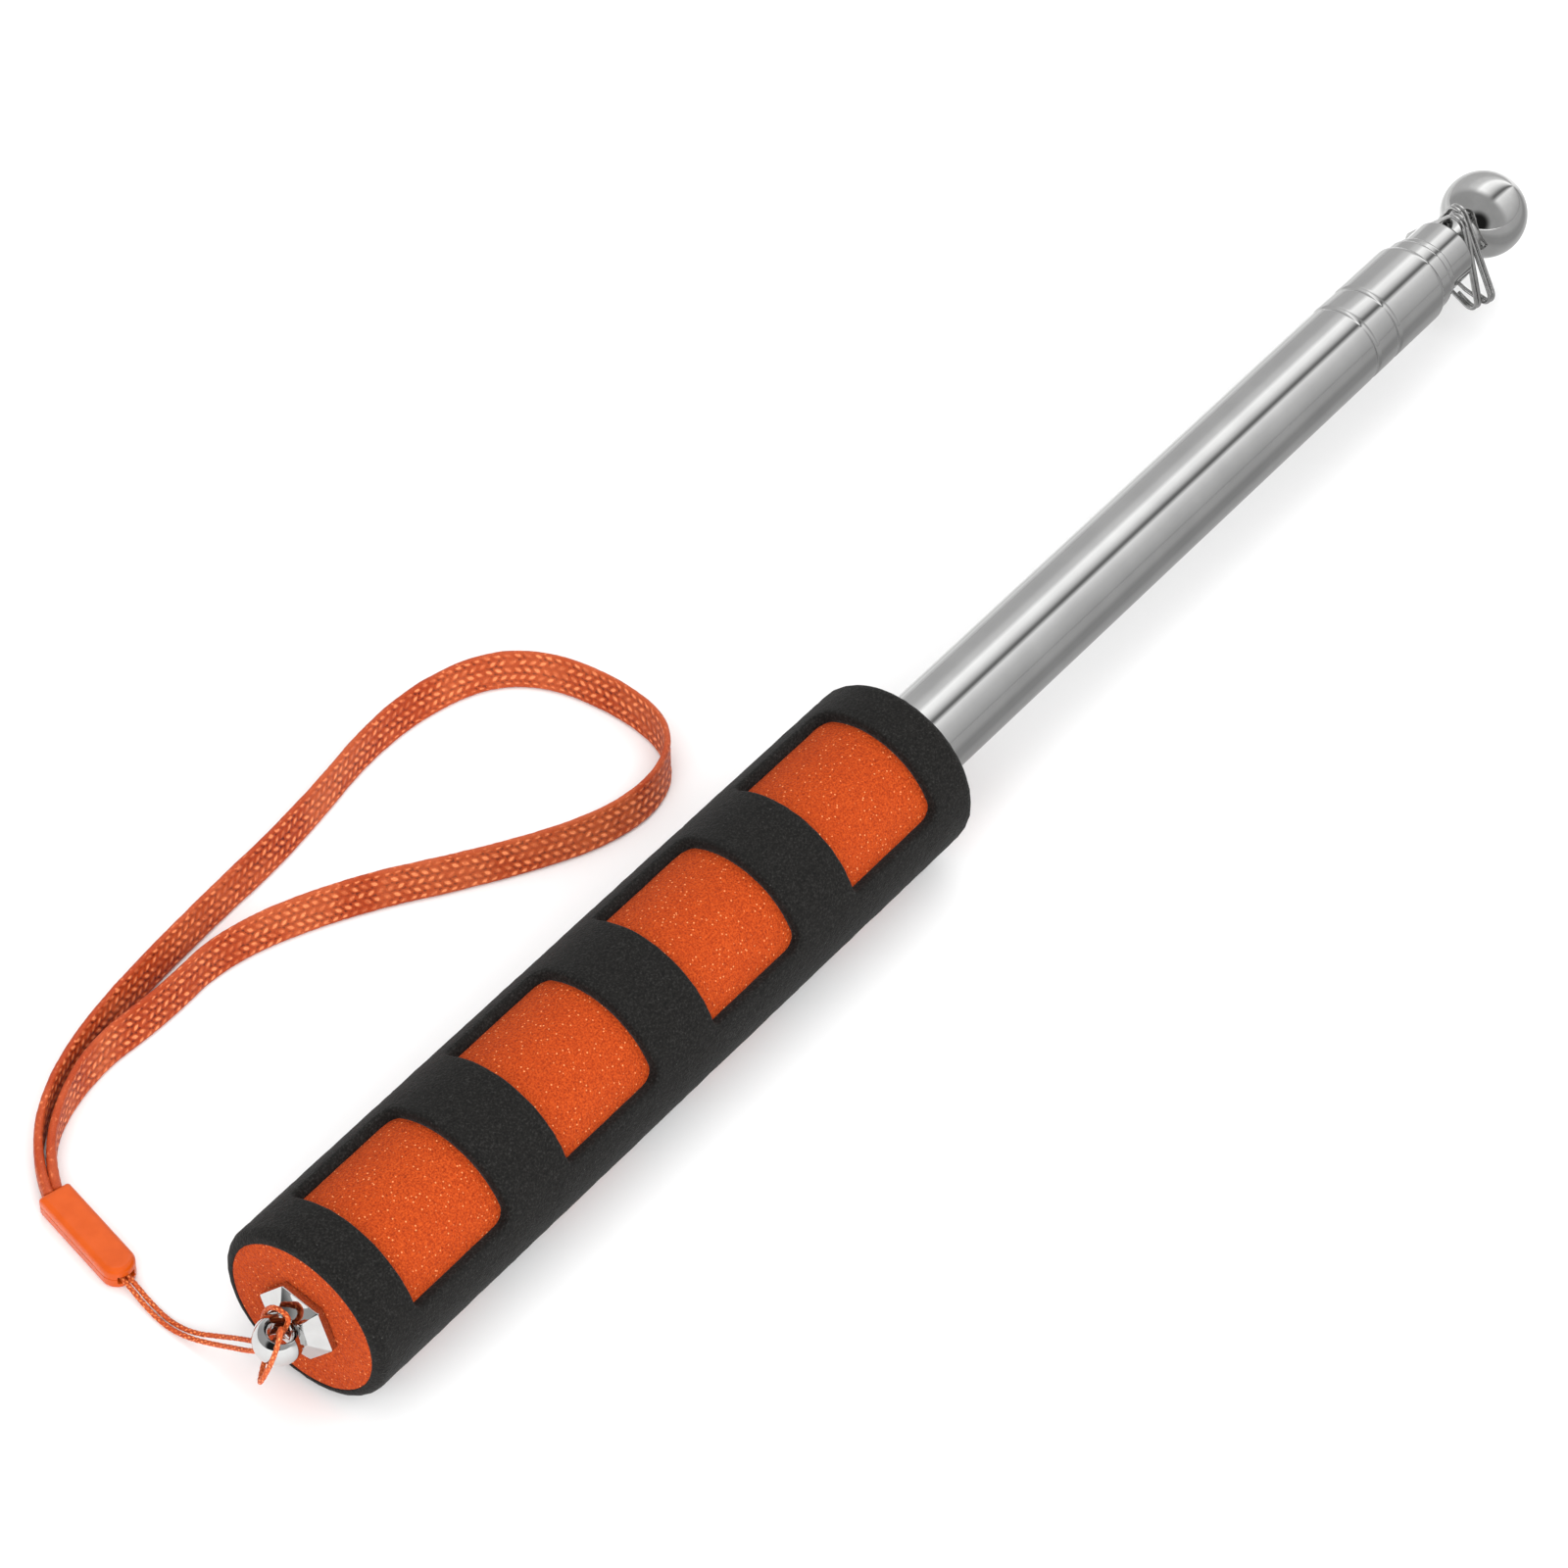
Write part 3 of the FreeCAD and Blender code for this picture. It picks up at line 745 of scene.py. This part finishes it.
def foam_core():
    """The orange core: a thick tube with soft edges, an end wall at the butt and a
    slightly uneven surface."""
    bore, neck, wall, soft = CORE_BORE, CORE_NECK, CORE_END_WALL, CORE_EDGE
    profile = [(0.12, neck), (0.0, neck + 0.12)]
    profile += [(0.0, neck + 0.12 + (CORE_RADIUS - 0.47 - neck) * step / 10)
                for step in range(1, 11)]
    profile += [(soft * (1.0 - math.cos(math.radians(angle))),
                 CORE_RADIUS - soft * (1.0 - math.sin(math.radians(angle))))
                for angle in (0, 30, 60, 90)]
    profile += [(GRIP_LENGTH * step / 150.0, CORE_RADIUS) for step in range(1, 150)]
    profile += [(GRIP_LENGTH - soft * (1.0 - math.cos(math.radians(angle))),
                 CORE_RADIUS - soft * (1.0 - math.sin(math.radians(angle))))
                for angle in (90, 60, 30, 0)]
    profile += [(GRIP_LENGTH, bore + 0.25 + (CORE_RADIUS - 0.4 - bore) * step / 8)
                for step in range(7, 0, -1)]
    profile += [(GRIP_LENGTH, bore + 0.25), (GRIP_LENGTH - 0.25, bore), (wall, bore),
                (wall, neck)]
    rows = []
    for station, radius in profile:
        row = []
        for index in range(CORE_SIDES):
            angle = 2.0 * math.pi * index / CORE_SIDES
            spot = round_the_pole(station, angle, radius) / MM
            swell = 0.05 * noise.noise(spot * 0.3) if radius > bore + 0.3 else 0.0
            if station < 0.1:
                row.append(round_the_pole(station + swell, angle, radius))
            elif 1.0 < station < GRIP_LENGTH - 1.0:
                row.append(round_the_pole(station, angle, radius + swell))
            else:
                row.append(round_the_pole(station, angle, radius))
        rows.append(row)
    rows.append(rows[0])
    return joined(mesh_piece("grip_core", rows, capped=False))


finish_piece(foam_skin(), "handle", "black_foam", "foam_skin")
finish_piece(foam_core(), "handle", "orange_foam", "foam_core")


# ---------------------------------------------------------------- turned metal
TUBE_RADII = (8.0, 7.3, 6.8, 6.3)
TUBE_WALLS = (0.35, 0.30, 0.30, 0.30)
TUBE_STARTS = (1.2, 14.0, 18.0, 22.0)
TUBE_MOUTHS = (307.4, 310.5, 312.2, 318.85)
MOUTH_ROUNDINGS = (2.5, 1.2, 0.9, 0.8)
LIP_GAP = 0.10
LIP_WALL = 0.13
GROOVES = (285.4, 292.3)
GROOVE_HALF_WIDTH = 0.95
GROOVE_DEPTH = 0.24
LAST_MOUTH_RADIUS = 5.75
NECK_RADIUS = 4.0
BALL_RADIUS = 8.15
BALL_STATION = 332.0
BALL_BACK = BALL_STATION - math.sqrt(BALL_RADIUS ** 2 - NECK_RADIUS ** 2)
SPIGOT_LENGTH = 8.0
PIN_RADIUS = 2.0
PIN_LENGTH = 5.0
TURNED_CREASE = 38.0


def turned_piece(name, profile, sides=144):
    """A closed profile of (station, radius) points turned about the pole's axis."""
    rows = [[round_the_pole(station, 2.0 * math.pi * index / sides, radius)
             for index in range(sides)] for station, radius in profile + profile[:1]]
    return crisp(mesh_piece(name, rows, capped=False), TURNED_CREASE)


def arc(centre_station, centre_radius, size, first, last, steps=10):
    """Points of an arc, angles in degrees from the pole's direction."""
    points = []
    for step in range(steps + 1):
        angle = math.radians(first + (last - first) * step / steps)
        points.append((centre_station + size * math.cos(angle),
                       centre_radius + size * math.sin(angle)))
    return points


def groove(station, radius, depth):
    """A rolled groove along a tube's wall, from one side to the other."""
    steps = 16
    return [(station + GROOVE_HALF_WIDTH * (2.0 * step / steps - 1.0),
             radius - depth * (0.5 - 0.5 * math.cos(2.0 * math.pi * step / steps)))
            for step in range(steps + 1)]


def tube(number):
    """A tube's wall: its mouth rolled in to a lip, the outer tube with its two grooves."""
    outer, wall = TUBE_RADII[number], TUBE_WALLS[number]
    bore = outer - wall
    start, mouth = TUBE_STARTS[number], TUBE_MOUTHS[number]
    if number < 3:
        lip_bore = TUBE_RADII[number + 1] + LIP_GAP
        lip = lip_bore + LIP_WALL
    else:
        lip_bore, lip = LAST_MOUTH_RADIUS - LIP_WALL, LAST_MOUTH_RADIUS
    rounding = MOUTH_ROUNDINGS[number]
    sweep = math.degrees(math.acos(1.0 - (outer - lip) / rounding))
    begin = mouth - rounding * math.sin(math.radians(sweep))
    profile = [(start, bore + 0.05), (start, outer - 0.1), (start + 0.1, outer)]
    if number == 0:
        for station in GROOVES:
            profile += groove(station, outer, GROOVE_DEPTH)
    profile += arc(begin, outer - rounding, rounding, 90.0, 90.0 - sweep, 12)
    profile += [(mouth, lip - 0.04), (mouth, lip_bore + 0.02), (mouth - 0.03, lip_bore)]
    profile += [(begin, lip_bore), (begin - 0.4, bore)]
    if number == 0:
        for station in reversed(GROOVES):
            profile += groove(station, bore, 0.2)[::-1]
    return profile + [(start + 0.05, bore)]


def plug():
    """The spigot in the last tube, the flare at its mouth, the neck and a pin in the ball."""
    mouth = TUBE_MOUTHS[3]
    spigot = LAST_MOUTH_RADIUS - LIP_WALL - 0.01
    flare = [(mouth + along, NECK_RADIUS + rise) for along, rise in
             ((0.13, 0.65), (0.19, 0.35), (0.28, 0.12), (0.38, 0.02), (0.48, 0.0))]
    start = mouth - SPIGOT_LENGTH
    return [(start, 0.0), (start, spigot - 0.3), (start + 0.3, spigot),
            (mouth + 0.05, spigot), (mouth + 0.09, spigot - 0.35), *flare,
            (BALL_BACK, NECK_RADIUS), (BALL_BACK + 0.3, PIN_RADIUS),
            (BALL_BACK + PIN_LENGTH, PIN_RADIUS), (BALL_BACK + PIN_LENGTH, 0.0)]


def ball():
    """The ball, cut flat where it meets the neck and drilled for the pin."""
    first = math.degrees(math.acos((BALL_BACK - BALL_STATION) / BALL_RADIUS))
    profile = arc(BALL_STATION, 0.0, BALL_RADIUS, first, 0.0, 72)
    return profile + [(BALL_BACK + PIN_LENGTH, 0.0), (BALL_BACK + PIN_LENGTH, PIN_RADIUS),
                      (BALL_BACK + 0.3, PIN_RADIUS)]


finish_piece(turned_piece("pole_tube_1", tube(0)), "handle", "polished_tube", "outer_tube")
for number in (1, 2, 3):
    section = "section_%d" % (number + 1)
    finish_piece(turned_piece("pole_tube_%d" % (number + 1), tube(number)), section,
                 "polished_tube", section + "_tube")
finish_piece(turned_piece("pole_tip_plug", plug()), "section_4", "bright_chrome", "tip_plug")
finish_piece(turned_piece("pole_tip_ball", ball(), 192), "section_4", "bright_chrome", "tip_ball")


# ---------------------------------------------------------------- flag rings
RING_WIRE = 0.4
RING_SIDE = 22.4
RING_CORNER = 2.2
RING_TURN_GAP = 0.04
RING_TOP = 7.3
RING_STATIONS = (321.3, 323.1)
RING_YAW, RING_PITCH = -14.0, -2.0
RING_SWINGS = (12.0, -2.0)
RING_CROSSING_BEND = 6.0
BEND_STEPS = 12
WIRE_SIDES = 24


def rounded(points, bends):
    """A line through the points, its inner corners rounded to their bend radii."""
    line = [points[0]]
    for before, corner, after, bend in zip(points, points[1:], points[2:], bends):
        back, on = (before - corner).normalized(), (after - corner).normalized()
        half = back.angle(on) / 2.0
        centre = corner + (back + on).normalized() * (bend / math.sin(half))
        start = corner + back * (bend / math.tan(half)) - centre
        end = corner + on * (bend / math.tan(half)) - centre
        axis = start.cross(end)
        for step in range(BEND_STEPS + 1):
            turn = (math.pi - 2.0 * half) * step / BEND_STEPS
            line.append(centre + Matrix.Rotation(turn, 3, axis) @ start)
    return line + [points[-1]]


def flag_ring(number):
    """A triangle of springy wire wound twice, its two turns side by side."""
    height = RING_SIDE * math.sqrt(3.0) / 2.0
    reach = 2.0 * height / 3.0
    centre = RING_TOP + RING_CORNER - reach
    offset = RING_WIRE + RING_TURN_GAP / 2.0
    corners = [(reach * math.sin(math.radians(angle)),
                centre + reach * math.cos(math.radians(angle))) for angle in (120, 0, -120)]
    (right, low), _, (left, _) = corners

    def on_base(share, side):
        return Vector((side * offset, left + share * (right - left), low))

    turns = [[Vector((side * offset, y, z)) for y, z in corners] for side in (-1, 1)]
    points = ([on_base(0.70, -1)] + turns[0] + [on_base(0.36, -1), on_base(0.64, 1)]
              + turns[1] + [on_base(0.30, 1)])
    bends = [RING_CORNER] * 3 + [RING_CROSSING_BEND] * 2 + [RING_CORNER] * 3
    hang = (Matrix.Rotation(math.radians(RING_YAW), 3, "Z")
            @ Matrix.Rotation(math.radians(RING_PITCH), 3, "Y")
            @ Matrix.Rotation(math.radians(RING_SWINGS[number]), 3, "X"))
    line = [hang @ point for point in rounded(points, bends)]
    line = [at(RING_STATIONS[number] + point.x, point.y, AXIS_HEIGHT + point.z)
            for point in line]
    rows = []
    for point, (side, up) in zip(line, carried_frames(line, Vector((1.0, 0.0, 0.0)))):
        angles = (2.0 * math.pi * step / WIRE_SIDES for step in range(WIRE_SIDES))
        rows.append([point + (side * math.cos(angle) + up * math.sin(angle)) * (RING_WIRE * MM)
                     for angle in angles])
    return rows


for number, name in enumerate(("inner", "outer")):
    finish_piece(mesh_piece("ring_" + name, flag_ring(number)), "ring_" + name, "ring_wire",
                 "flag_ring_" + name)


# ---------------------------------------------------------------- butt cap and eye
CAP_RADIUS = 7.4
CAP_SIDES = 6
CAP_CORNER = math.radians(19.0)
FACET_HOLLOW = 0.06
EYE_RADIUS = 4.15
EYE_STATION = -5.4
EYE_HOLE = 2.0
EYE_MOUTH = 2.75
EYE_TILT = math.radians(-15.0)
EYE_SIDES = 96


def cap_rows():
    """Six-sided base and faceted crown, with softened corners and slightly hollow facets."""
    share = math.pi / CAP_SIDES
    apothem = math.cos(share)
    offsets = (-30, -26, -22, -18, -14, -10, -7, -5, -3.5, -2.5, -1.5, -0.75, 0, 0.75, 1.5,
               2.5, 3.5, 5, 7, 10, 14, 18, 22, 26)
    rim = CAP_RADIUS
    profile = ((0.4, 5.9, 0), (0.02, 5.95, 0), (0.0, rim - 0.14, 0), (-0.12, rim, 0),
               (-1.28, rim, 0), (-1.38, rim - 0.04, 0), (-1.50, rim - 0.20, 0.3),
               (-2.0, 6.33, 1), (-2.6, 5.20, 1), (-3.05, 4.36, 0.7), (-3.17, 4.09, 0.3),
               (-3.2, 3.85, 0), (-3.2, 1.0, 0))
    rows = []
    for station, radius, hollow in profile:
        row = []
        for side in range(CAP_SIDES):
            for offset in offsets:
                turn = math.radians(offset)
                middle = 1.0 - abs(turn) / share
                flat = apothem / math.cos(share - abs(turn))
                outline = min(flat, 0.990 - 0.3 * (abs(turn) * 0.5) ** 2)
                sunk = FACET_HOLLOW * hollow * (1.0 - middle ** 2)
                angle = CAP_CORNER + 2.0 * share * side + turn
                row.append(round_the_pole(station, angle, radius * outline * (1.0 - sunk)))
        rows.append(row)
    return rows


def eye_rows():
    """The ball eye, turned about its hole: a drilled ball with crisp countersunk mouths."""
    mouth = math.degrees(math.acos(EYE_MOUTH / EYE_RADIUS))
    profile = [(EYE_RADIUS * math.sin(math.radians(angle)),
                EYE_RADIUS * math.cos(math.radians(angle)))
               for angle in (-mouth + 2.0 * mouth * step / 48 for step in range(49))]
    rim = profile[-1][0]
    down = [(rim + 0.02, EYE_MOUTH - 0.06), (rim - 0.35, EYE_MOUTH - 0.38),
            (rim - 0.75, EYE_MOUTH - 0.62), (rim - 1.2, EYE_HOLE), (rim - 1.6, EYE_HOLE)]
    profile += down + [(0.0, EYE_HOLE)] + [(-along, radius) for along, radius in down[::-1]]
    axis = Vector((0.0, math.sin(EYE_TILT), math.cos(EYE_TILT)))
    side = Vector((1.0, 0.0, 0.0))
    up = axis.cross(side)
    centre = at(EYE_STATION, 0.0, AXIS_HEIGHT)
    return [[centre + (axis * along + (side * math.cos(angle) + up * math.sin(angle)) * radius)
             * MM for angle in (2.0 * math.pi * step / EYE_SIDES for step in range(EYE_SIDES))]
            for along, radius in profile + profile[:1]]


finish_piece(crisp(mesh_piece("butt_cap", cap_rows()), 30.0), "handle", "bright_chrome",
             "end_cap")
finish_piece(crisp(mesh_piece("butt_eye", eye_rows(), capped=False), 35.0), "handle",
             "bright_chrome")


# ---------------------------------------------------------------- strap clamp
CLAMP_LENGTH = 21.2
CLAMP_WIDTH = 5.9
CLAMP_HEIGHT = 4.2
CLAMP_BACK = (2.8, 55.8)
CLAMP_HEADING = math.radians(-104.2)
CLAMP_SEAM = CLAMP_HEIGHT / 2.0
CLAMP_SLOT = (3.2, 1.5, 3.0)
CLAMP_CREASE = 30.0
SEAM_GAP = 0.02
SEAM_SOFTNESS = 0.12


def in_clamp_place(along, across, z):
    """From the clamp's own axes, along towards its nose, to where it lies."""
    turned = Matrix.Rotation(CLAMP_HEADING, 2) @ Vector((along, across))
    return at(CLAMP_BACK[0] + turned.x, CLAMP_BACK[1] + turned.y, z)


def clamp_outline(inset):
    """The plan of the clamp: square at the back, round at the nose."""
    half = CLAMP_WIDTH / 2.0 - inset
    nose = CLAMP_LENGTH - CLAMP_WIDTH / 2.0
    corner = 0.5
    points = []
    for sign in (-1, 1):
        for step in range(7):
            angle = math.radians(15.0 * (step if sign < 0 else 6 - step))
            points.append((inset + corner * (1.0 - math.cos(angle)),
                           sign * (half - corner * (1.0 - math.sin(angle)))))
        if sign < 0:
            points += [(inset + corner + (nose - inset - corner) * step / 8, -half)
                       for step in range(1, 8)]
            points += [(nose + half * math.sin(math.radians(angle)),
                        -half * math.cos(math.radians(angle))) for angle in range(0, 181, 6)]
            points += [(nose - (nose - inset - corner) * step / 8, half)
                       for step in range(1, 8)]
    return points


def clamp_half(name, levels):
    rows = [[in_clamp_place(along, across, z) for along, across in clamp_outline(inset)]
            for z, inset in levels]
    return mesh_piece(name, rows)


def edge_levels(top, radius, steps=8):
    """Heights and insets round an edge that faces up (or down, for a negative radius)."""
    return [(top - radius + radius * math.sin(math.radians(90.0 * step / steps)),
             abs(radius) * (1.0 - math.cos(math.radians(90.0 * step / steps))))
            for step in range(steps + 1)]


def cut_slot(piece):
    """The piece less the slot in the nose, (width, height, depth), that the cord leaves by."""
    width, height, depth = CLAMP_SLOT
    middle = CLAMP_SEAM - 0.2
    loop = [(-1, -1), (1, -1), (1, 1), (-1, 1)]
    rows = [[in_clamp_place(along, sign * width / 2.0, middle + level * height / 2.0)
             for sign, level in loop] for along in (CLAMP_LENGTH - depth, CLAMP_LENGTH + 1.0)]
    cutter = crisp(mesh_piece("slot_cutter", rows), CLAMP_CREASE)
    cut = piece.modifiers.new("slot", "BOOLEAN")
    cut.operation = "DIFFERENCE"
    cut.object = cutter
    cut.solver = "EXACT"
    bpy.context.view_layer.update()
    shape = bpy.data.meshes.new_from_object(
        piece.evaluated_get(bpy.context.evaluated_depsgraph_get()))
    piece.modifiers.clear()
    piece.data = shape
    bpy.data.objects.remove(cutter)
    return crisp(piece, CLAMP_CREASE)


TOP_LEVELS = [(CLAMP_SEAM + SEAM_GAP, SEAM_SOFTNESS), (CLAMP_SEAM + 0.1, 0.0),
              *edge_levels(CLAMP_HEIGHT, 1.15, 10)]
BASE_LEVELS = [*edge_levels(0.0, -0.7)[::-1], (CLAMP_SEAM - 0.1, 0.0),
               (CLAMP_SEAM - SEAM_GAP, SEAM_SOFTNESS)]
clamp_top = crisp(clamp_half("clamp_top", TOP_LEVELS), CLAMP_CREASE)
clamp_base = crisp(clamp_half("clamp_base", BASE_LEVELS), CLAMP_CREASE)
finish_piece(cut_slot(clamp_top), "handle", "orange_gloss", "clamp_upper")
finish_piece(cut_slot(clamp_base), "handle", "orange_gloss", "clamp_lower")


# ---------------------------------------------------------------- floor and light
FLOOR_HALF = 3
FLOOR_COLOUR = (0.93, 0.93, 0.93)
BUTT_PAINTED_REFLECTION_TONE = (0.95, 0.95, 0.95)
# Painted shade that only polished metal sees: the table's colour for glossy rays, darker or paler
# at each Y, in metres, standing in for shadow and uneven light on the table.  Beside the butt,
# where X is low, metal sees one paler painted tone instead.
REFLECTED_TABLE_PAINTED_SHADE = ((-0.10, 0.38), (-0.062, 0.37), (-0.035, 0.27), (-0.021, 0.29), (-0.0145, 0.40),
               (-0.005, 0.50), (0.010, 0.90), (0.028, 0.98), (0.038, 0.75), (0.052, 0.64),
               (0.08, 0.78), (0.15, 0.64))


def floor_material():
    made = Shade("floor", FLOOR_COLOUR, 0.75, Specular_IOR_Level=0.2)
    spot = made.node("ShaderNodeSeparateXYZ")
    made.link(made.place, spot.inputs[0])
    low, high = REFLECTED_TABLE_PAINTED_SHADE[0][0], REFLECTED_TABLE_PAINTED_SHADE[-1][0]
    painted_reflection_shade = made.ramp(made.mapped(spot.outputs["Y"], low, high, 0.0, 1.0),
                          [((y - low) / (high - low), (tone, tone, tone))
                           for y, tone in REFLECTED_TABLE_PAINTED_SHADE])
    beside_butt = made.mapped(spot.outputs["X"], -0.17, -0.13, 1.0, 0.0)
    painted_reflection_shade = made.mixed(beside_butt, painted_reflection_shade, BUTT_PAINTED_REFLECTION_TONE)
    # Glossy rays see the painted reflection shade; all other rays see the even floor colour.
    path = made.node("ShaderNodeLightPath")
    made.colour(made.mixed(path.outputs["Is Glossy Ray"], FLOOR_COLOUR, painted_reflection_shade))
    return made.material


floor_mesh = bpy.data.meshes.new("floor")
floor_mesh.from_pydata([(x * FLOOR_HALF, y * FLOOR_HALF, 0)
                        for x, y in ((-1, -1), (1, -1), (1, 1), (-1, 1))], [], [(0, 1, 2, 3)])
floor = shown("floor", floor_mesh)
floor.data.materials.append(floor_material())

# A studio all round: brightness by the angle about the pole's direction, in degrees from
# straight up (0) over the far side (positive) and the near side (negative) down to the
# table.  Towards the butt it fades to EVEN_TONE, with a dark OPENING where nothing is lit.
STUDIO = (
    (-180, 0.45), (-92, 0.50), (-85, 0.62), (-69, 0.76), (-53, 0.90), (-41, 1.10),
    (-33, 1.30), (-29, 1.40), (-25, 0.80), (-20, 0.22), (-16, 0.26), (-12, 0.55),
    (-7, 0.95), (-1, 1.25), (6, 1.60), (19, 1.85), (24, 1.45), (29, 1.10), (43, 0.92), (51, 0.76),
    (59, 0.72), (75, 0.70), (92, 0.72), (110, 0.72), (180, 0.66),
)
STUDIO_STRENGTH = 1.0
EVEN_TONE = 0.50
OPENING = Vector((-0.93, -0.28, 0.24)).normalized()
STUDIO_FADE = (-0.12, 0.22)
OPENING_EDGE = (0.80, 0.95)
OPENING_TONE = 0.04


def studio():
    world = bpy.data.worlds.new("studio")
    world.use_nodes = True
    tree = world.node_tree

    def maths(operation, first, second):
        made = tree.nodes.new("ShaderNodeMath")
        made.operation = operation
        for socket, source in zip(made.inputs, (first, second)):
            if isinstance(source, bpy.types.NodeSocket):
                tree.links.new(source, socket)
            else:
                socket.default_value = source
        return made.outputs[0]

    def mapped(value, low, high, to_low, to_high, interpolation="SMOOTHSTEP"):
        made = tree.nodes.new("ShaderNodeMapRange")
        made.interpolation_type = interpolation
        for key, number in (("From Min", low), ("From Max", high),
                            ("To Min", to_low), ("To Max", to_high)):
            made.inputs[key].default_value = number
        tree.links.new(value, made.inputs["Value"])
        return made.outputs["Result"]

    place = tree.nodes.new("ShaderNodeTexCoord").outputs["Generated"]
    split = tree.nodes.new("ShaderNodeSeparateXYZ")
    tree.links.new(place, split.inputs[0])
    turn = maths("ARCTAN2", split.outputs["Y"], split.outputs["Z"])
    ramp = tree.nodes.new("ShaderNodeValToRGB")
    elements = ramp.color_ramp.elements
    for index, (angle, level) in enumerate(STUDIO):
        position = (angle + 180.0) / 360.0
        element = elements[index] if index < 2 else elements.new(position)
        element.position = position
        element.color = (level, level, level, 1.0)
    tree.links.new(mapped(turn, -math.pi, math.pi, 0.0, 1.0, "LINEAR"), ramp.inputs["Fac"])

    ahead = mapped(split.outputs["X"], *STUDIO_FADE, 0.0, 1.0)
    tone = maths("SUBTRACT", ramp.outputs["Color"], EVEN_TONE)
    tone = maths("ADD", maths("MULTIPLY", tone, ahead), EVEN_TONE)
    facing = tree.nodes.new("ShaderNodeVectorMath")
    facing.operation = "DOT_PRODUCT"
    tree.links.new(place, facing.inputs[0])
    facing.inputs[1].default_value = OPENING
    lit = mapped(facing.outputs["Value"], *OPENING_EDGE, 1.0, OPENING_TONE)
    background = tree.nodes["Background"]
    tree.links.new(maths("MULTIPLY", tone, lit), background.inputs["Color"])
    background.inputs["Strength"].default_value = STUDIO_STRENGTH
    return world


scene.world = studio()


def softbox(name, place, target, width, height, power):
    """A rectangular light, in metres and watts, that no reflection shows."""
    data = bpy.data.lights.new(name, "AREA")
    data.shape = "RECTANGLE"
    data.size = width
    data.size_y = height
    data.energy = power
    light = shown(name, data)
    light.location = place
    aim = Vector(target) - Vector(place)
    light.rotation_mode = "QUATERNION"
    light.rotation_quaternion = aim.to_track_quat("-Z", "Y")
    light.visible_glossy = False


softbox("key", (0.0, 0.10, 1.60), (0, 0.0, 0), 3.6, 3.6, 20.5)
softbox("fill", (-1.3, -0.7, 0.75), (-0.15, 0, 0.02), 2.2, 1.3, 28.0)
softbox("near_fill", (0.3, -1.5, 0.9), (0.1, 0, 0), 2.4, 1.4, 12.0)
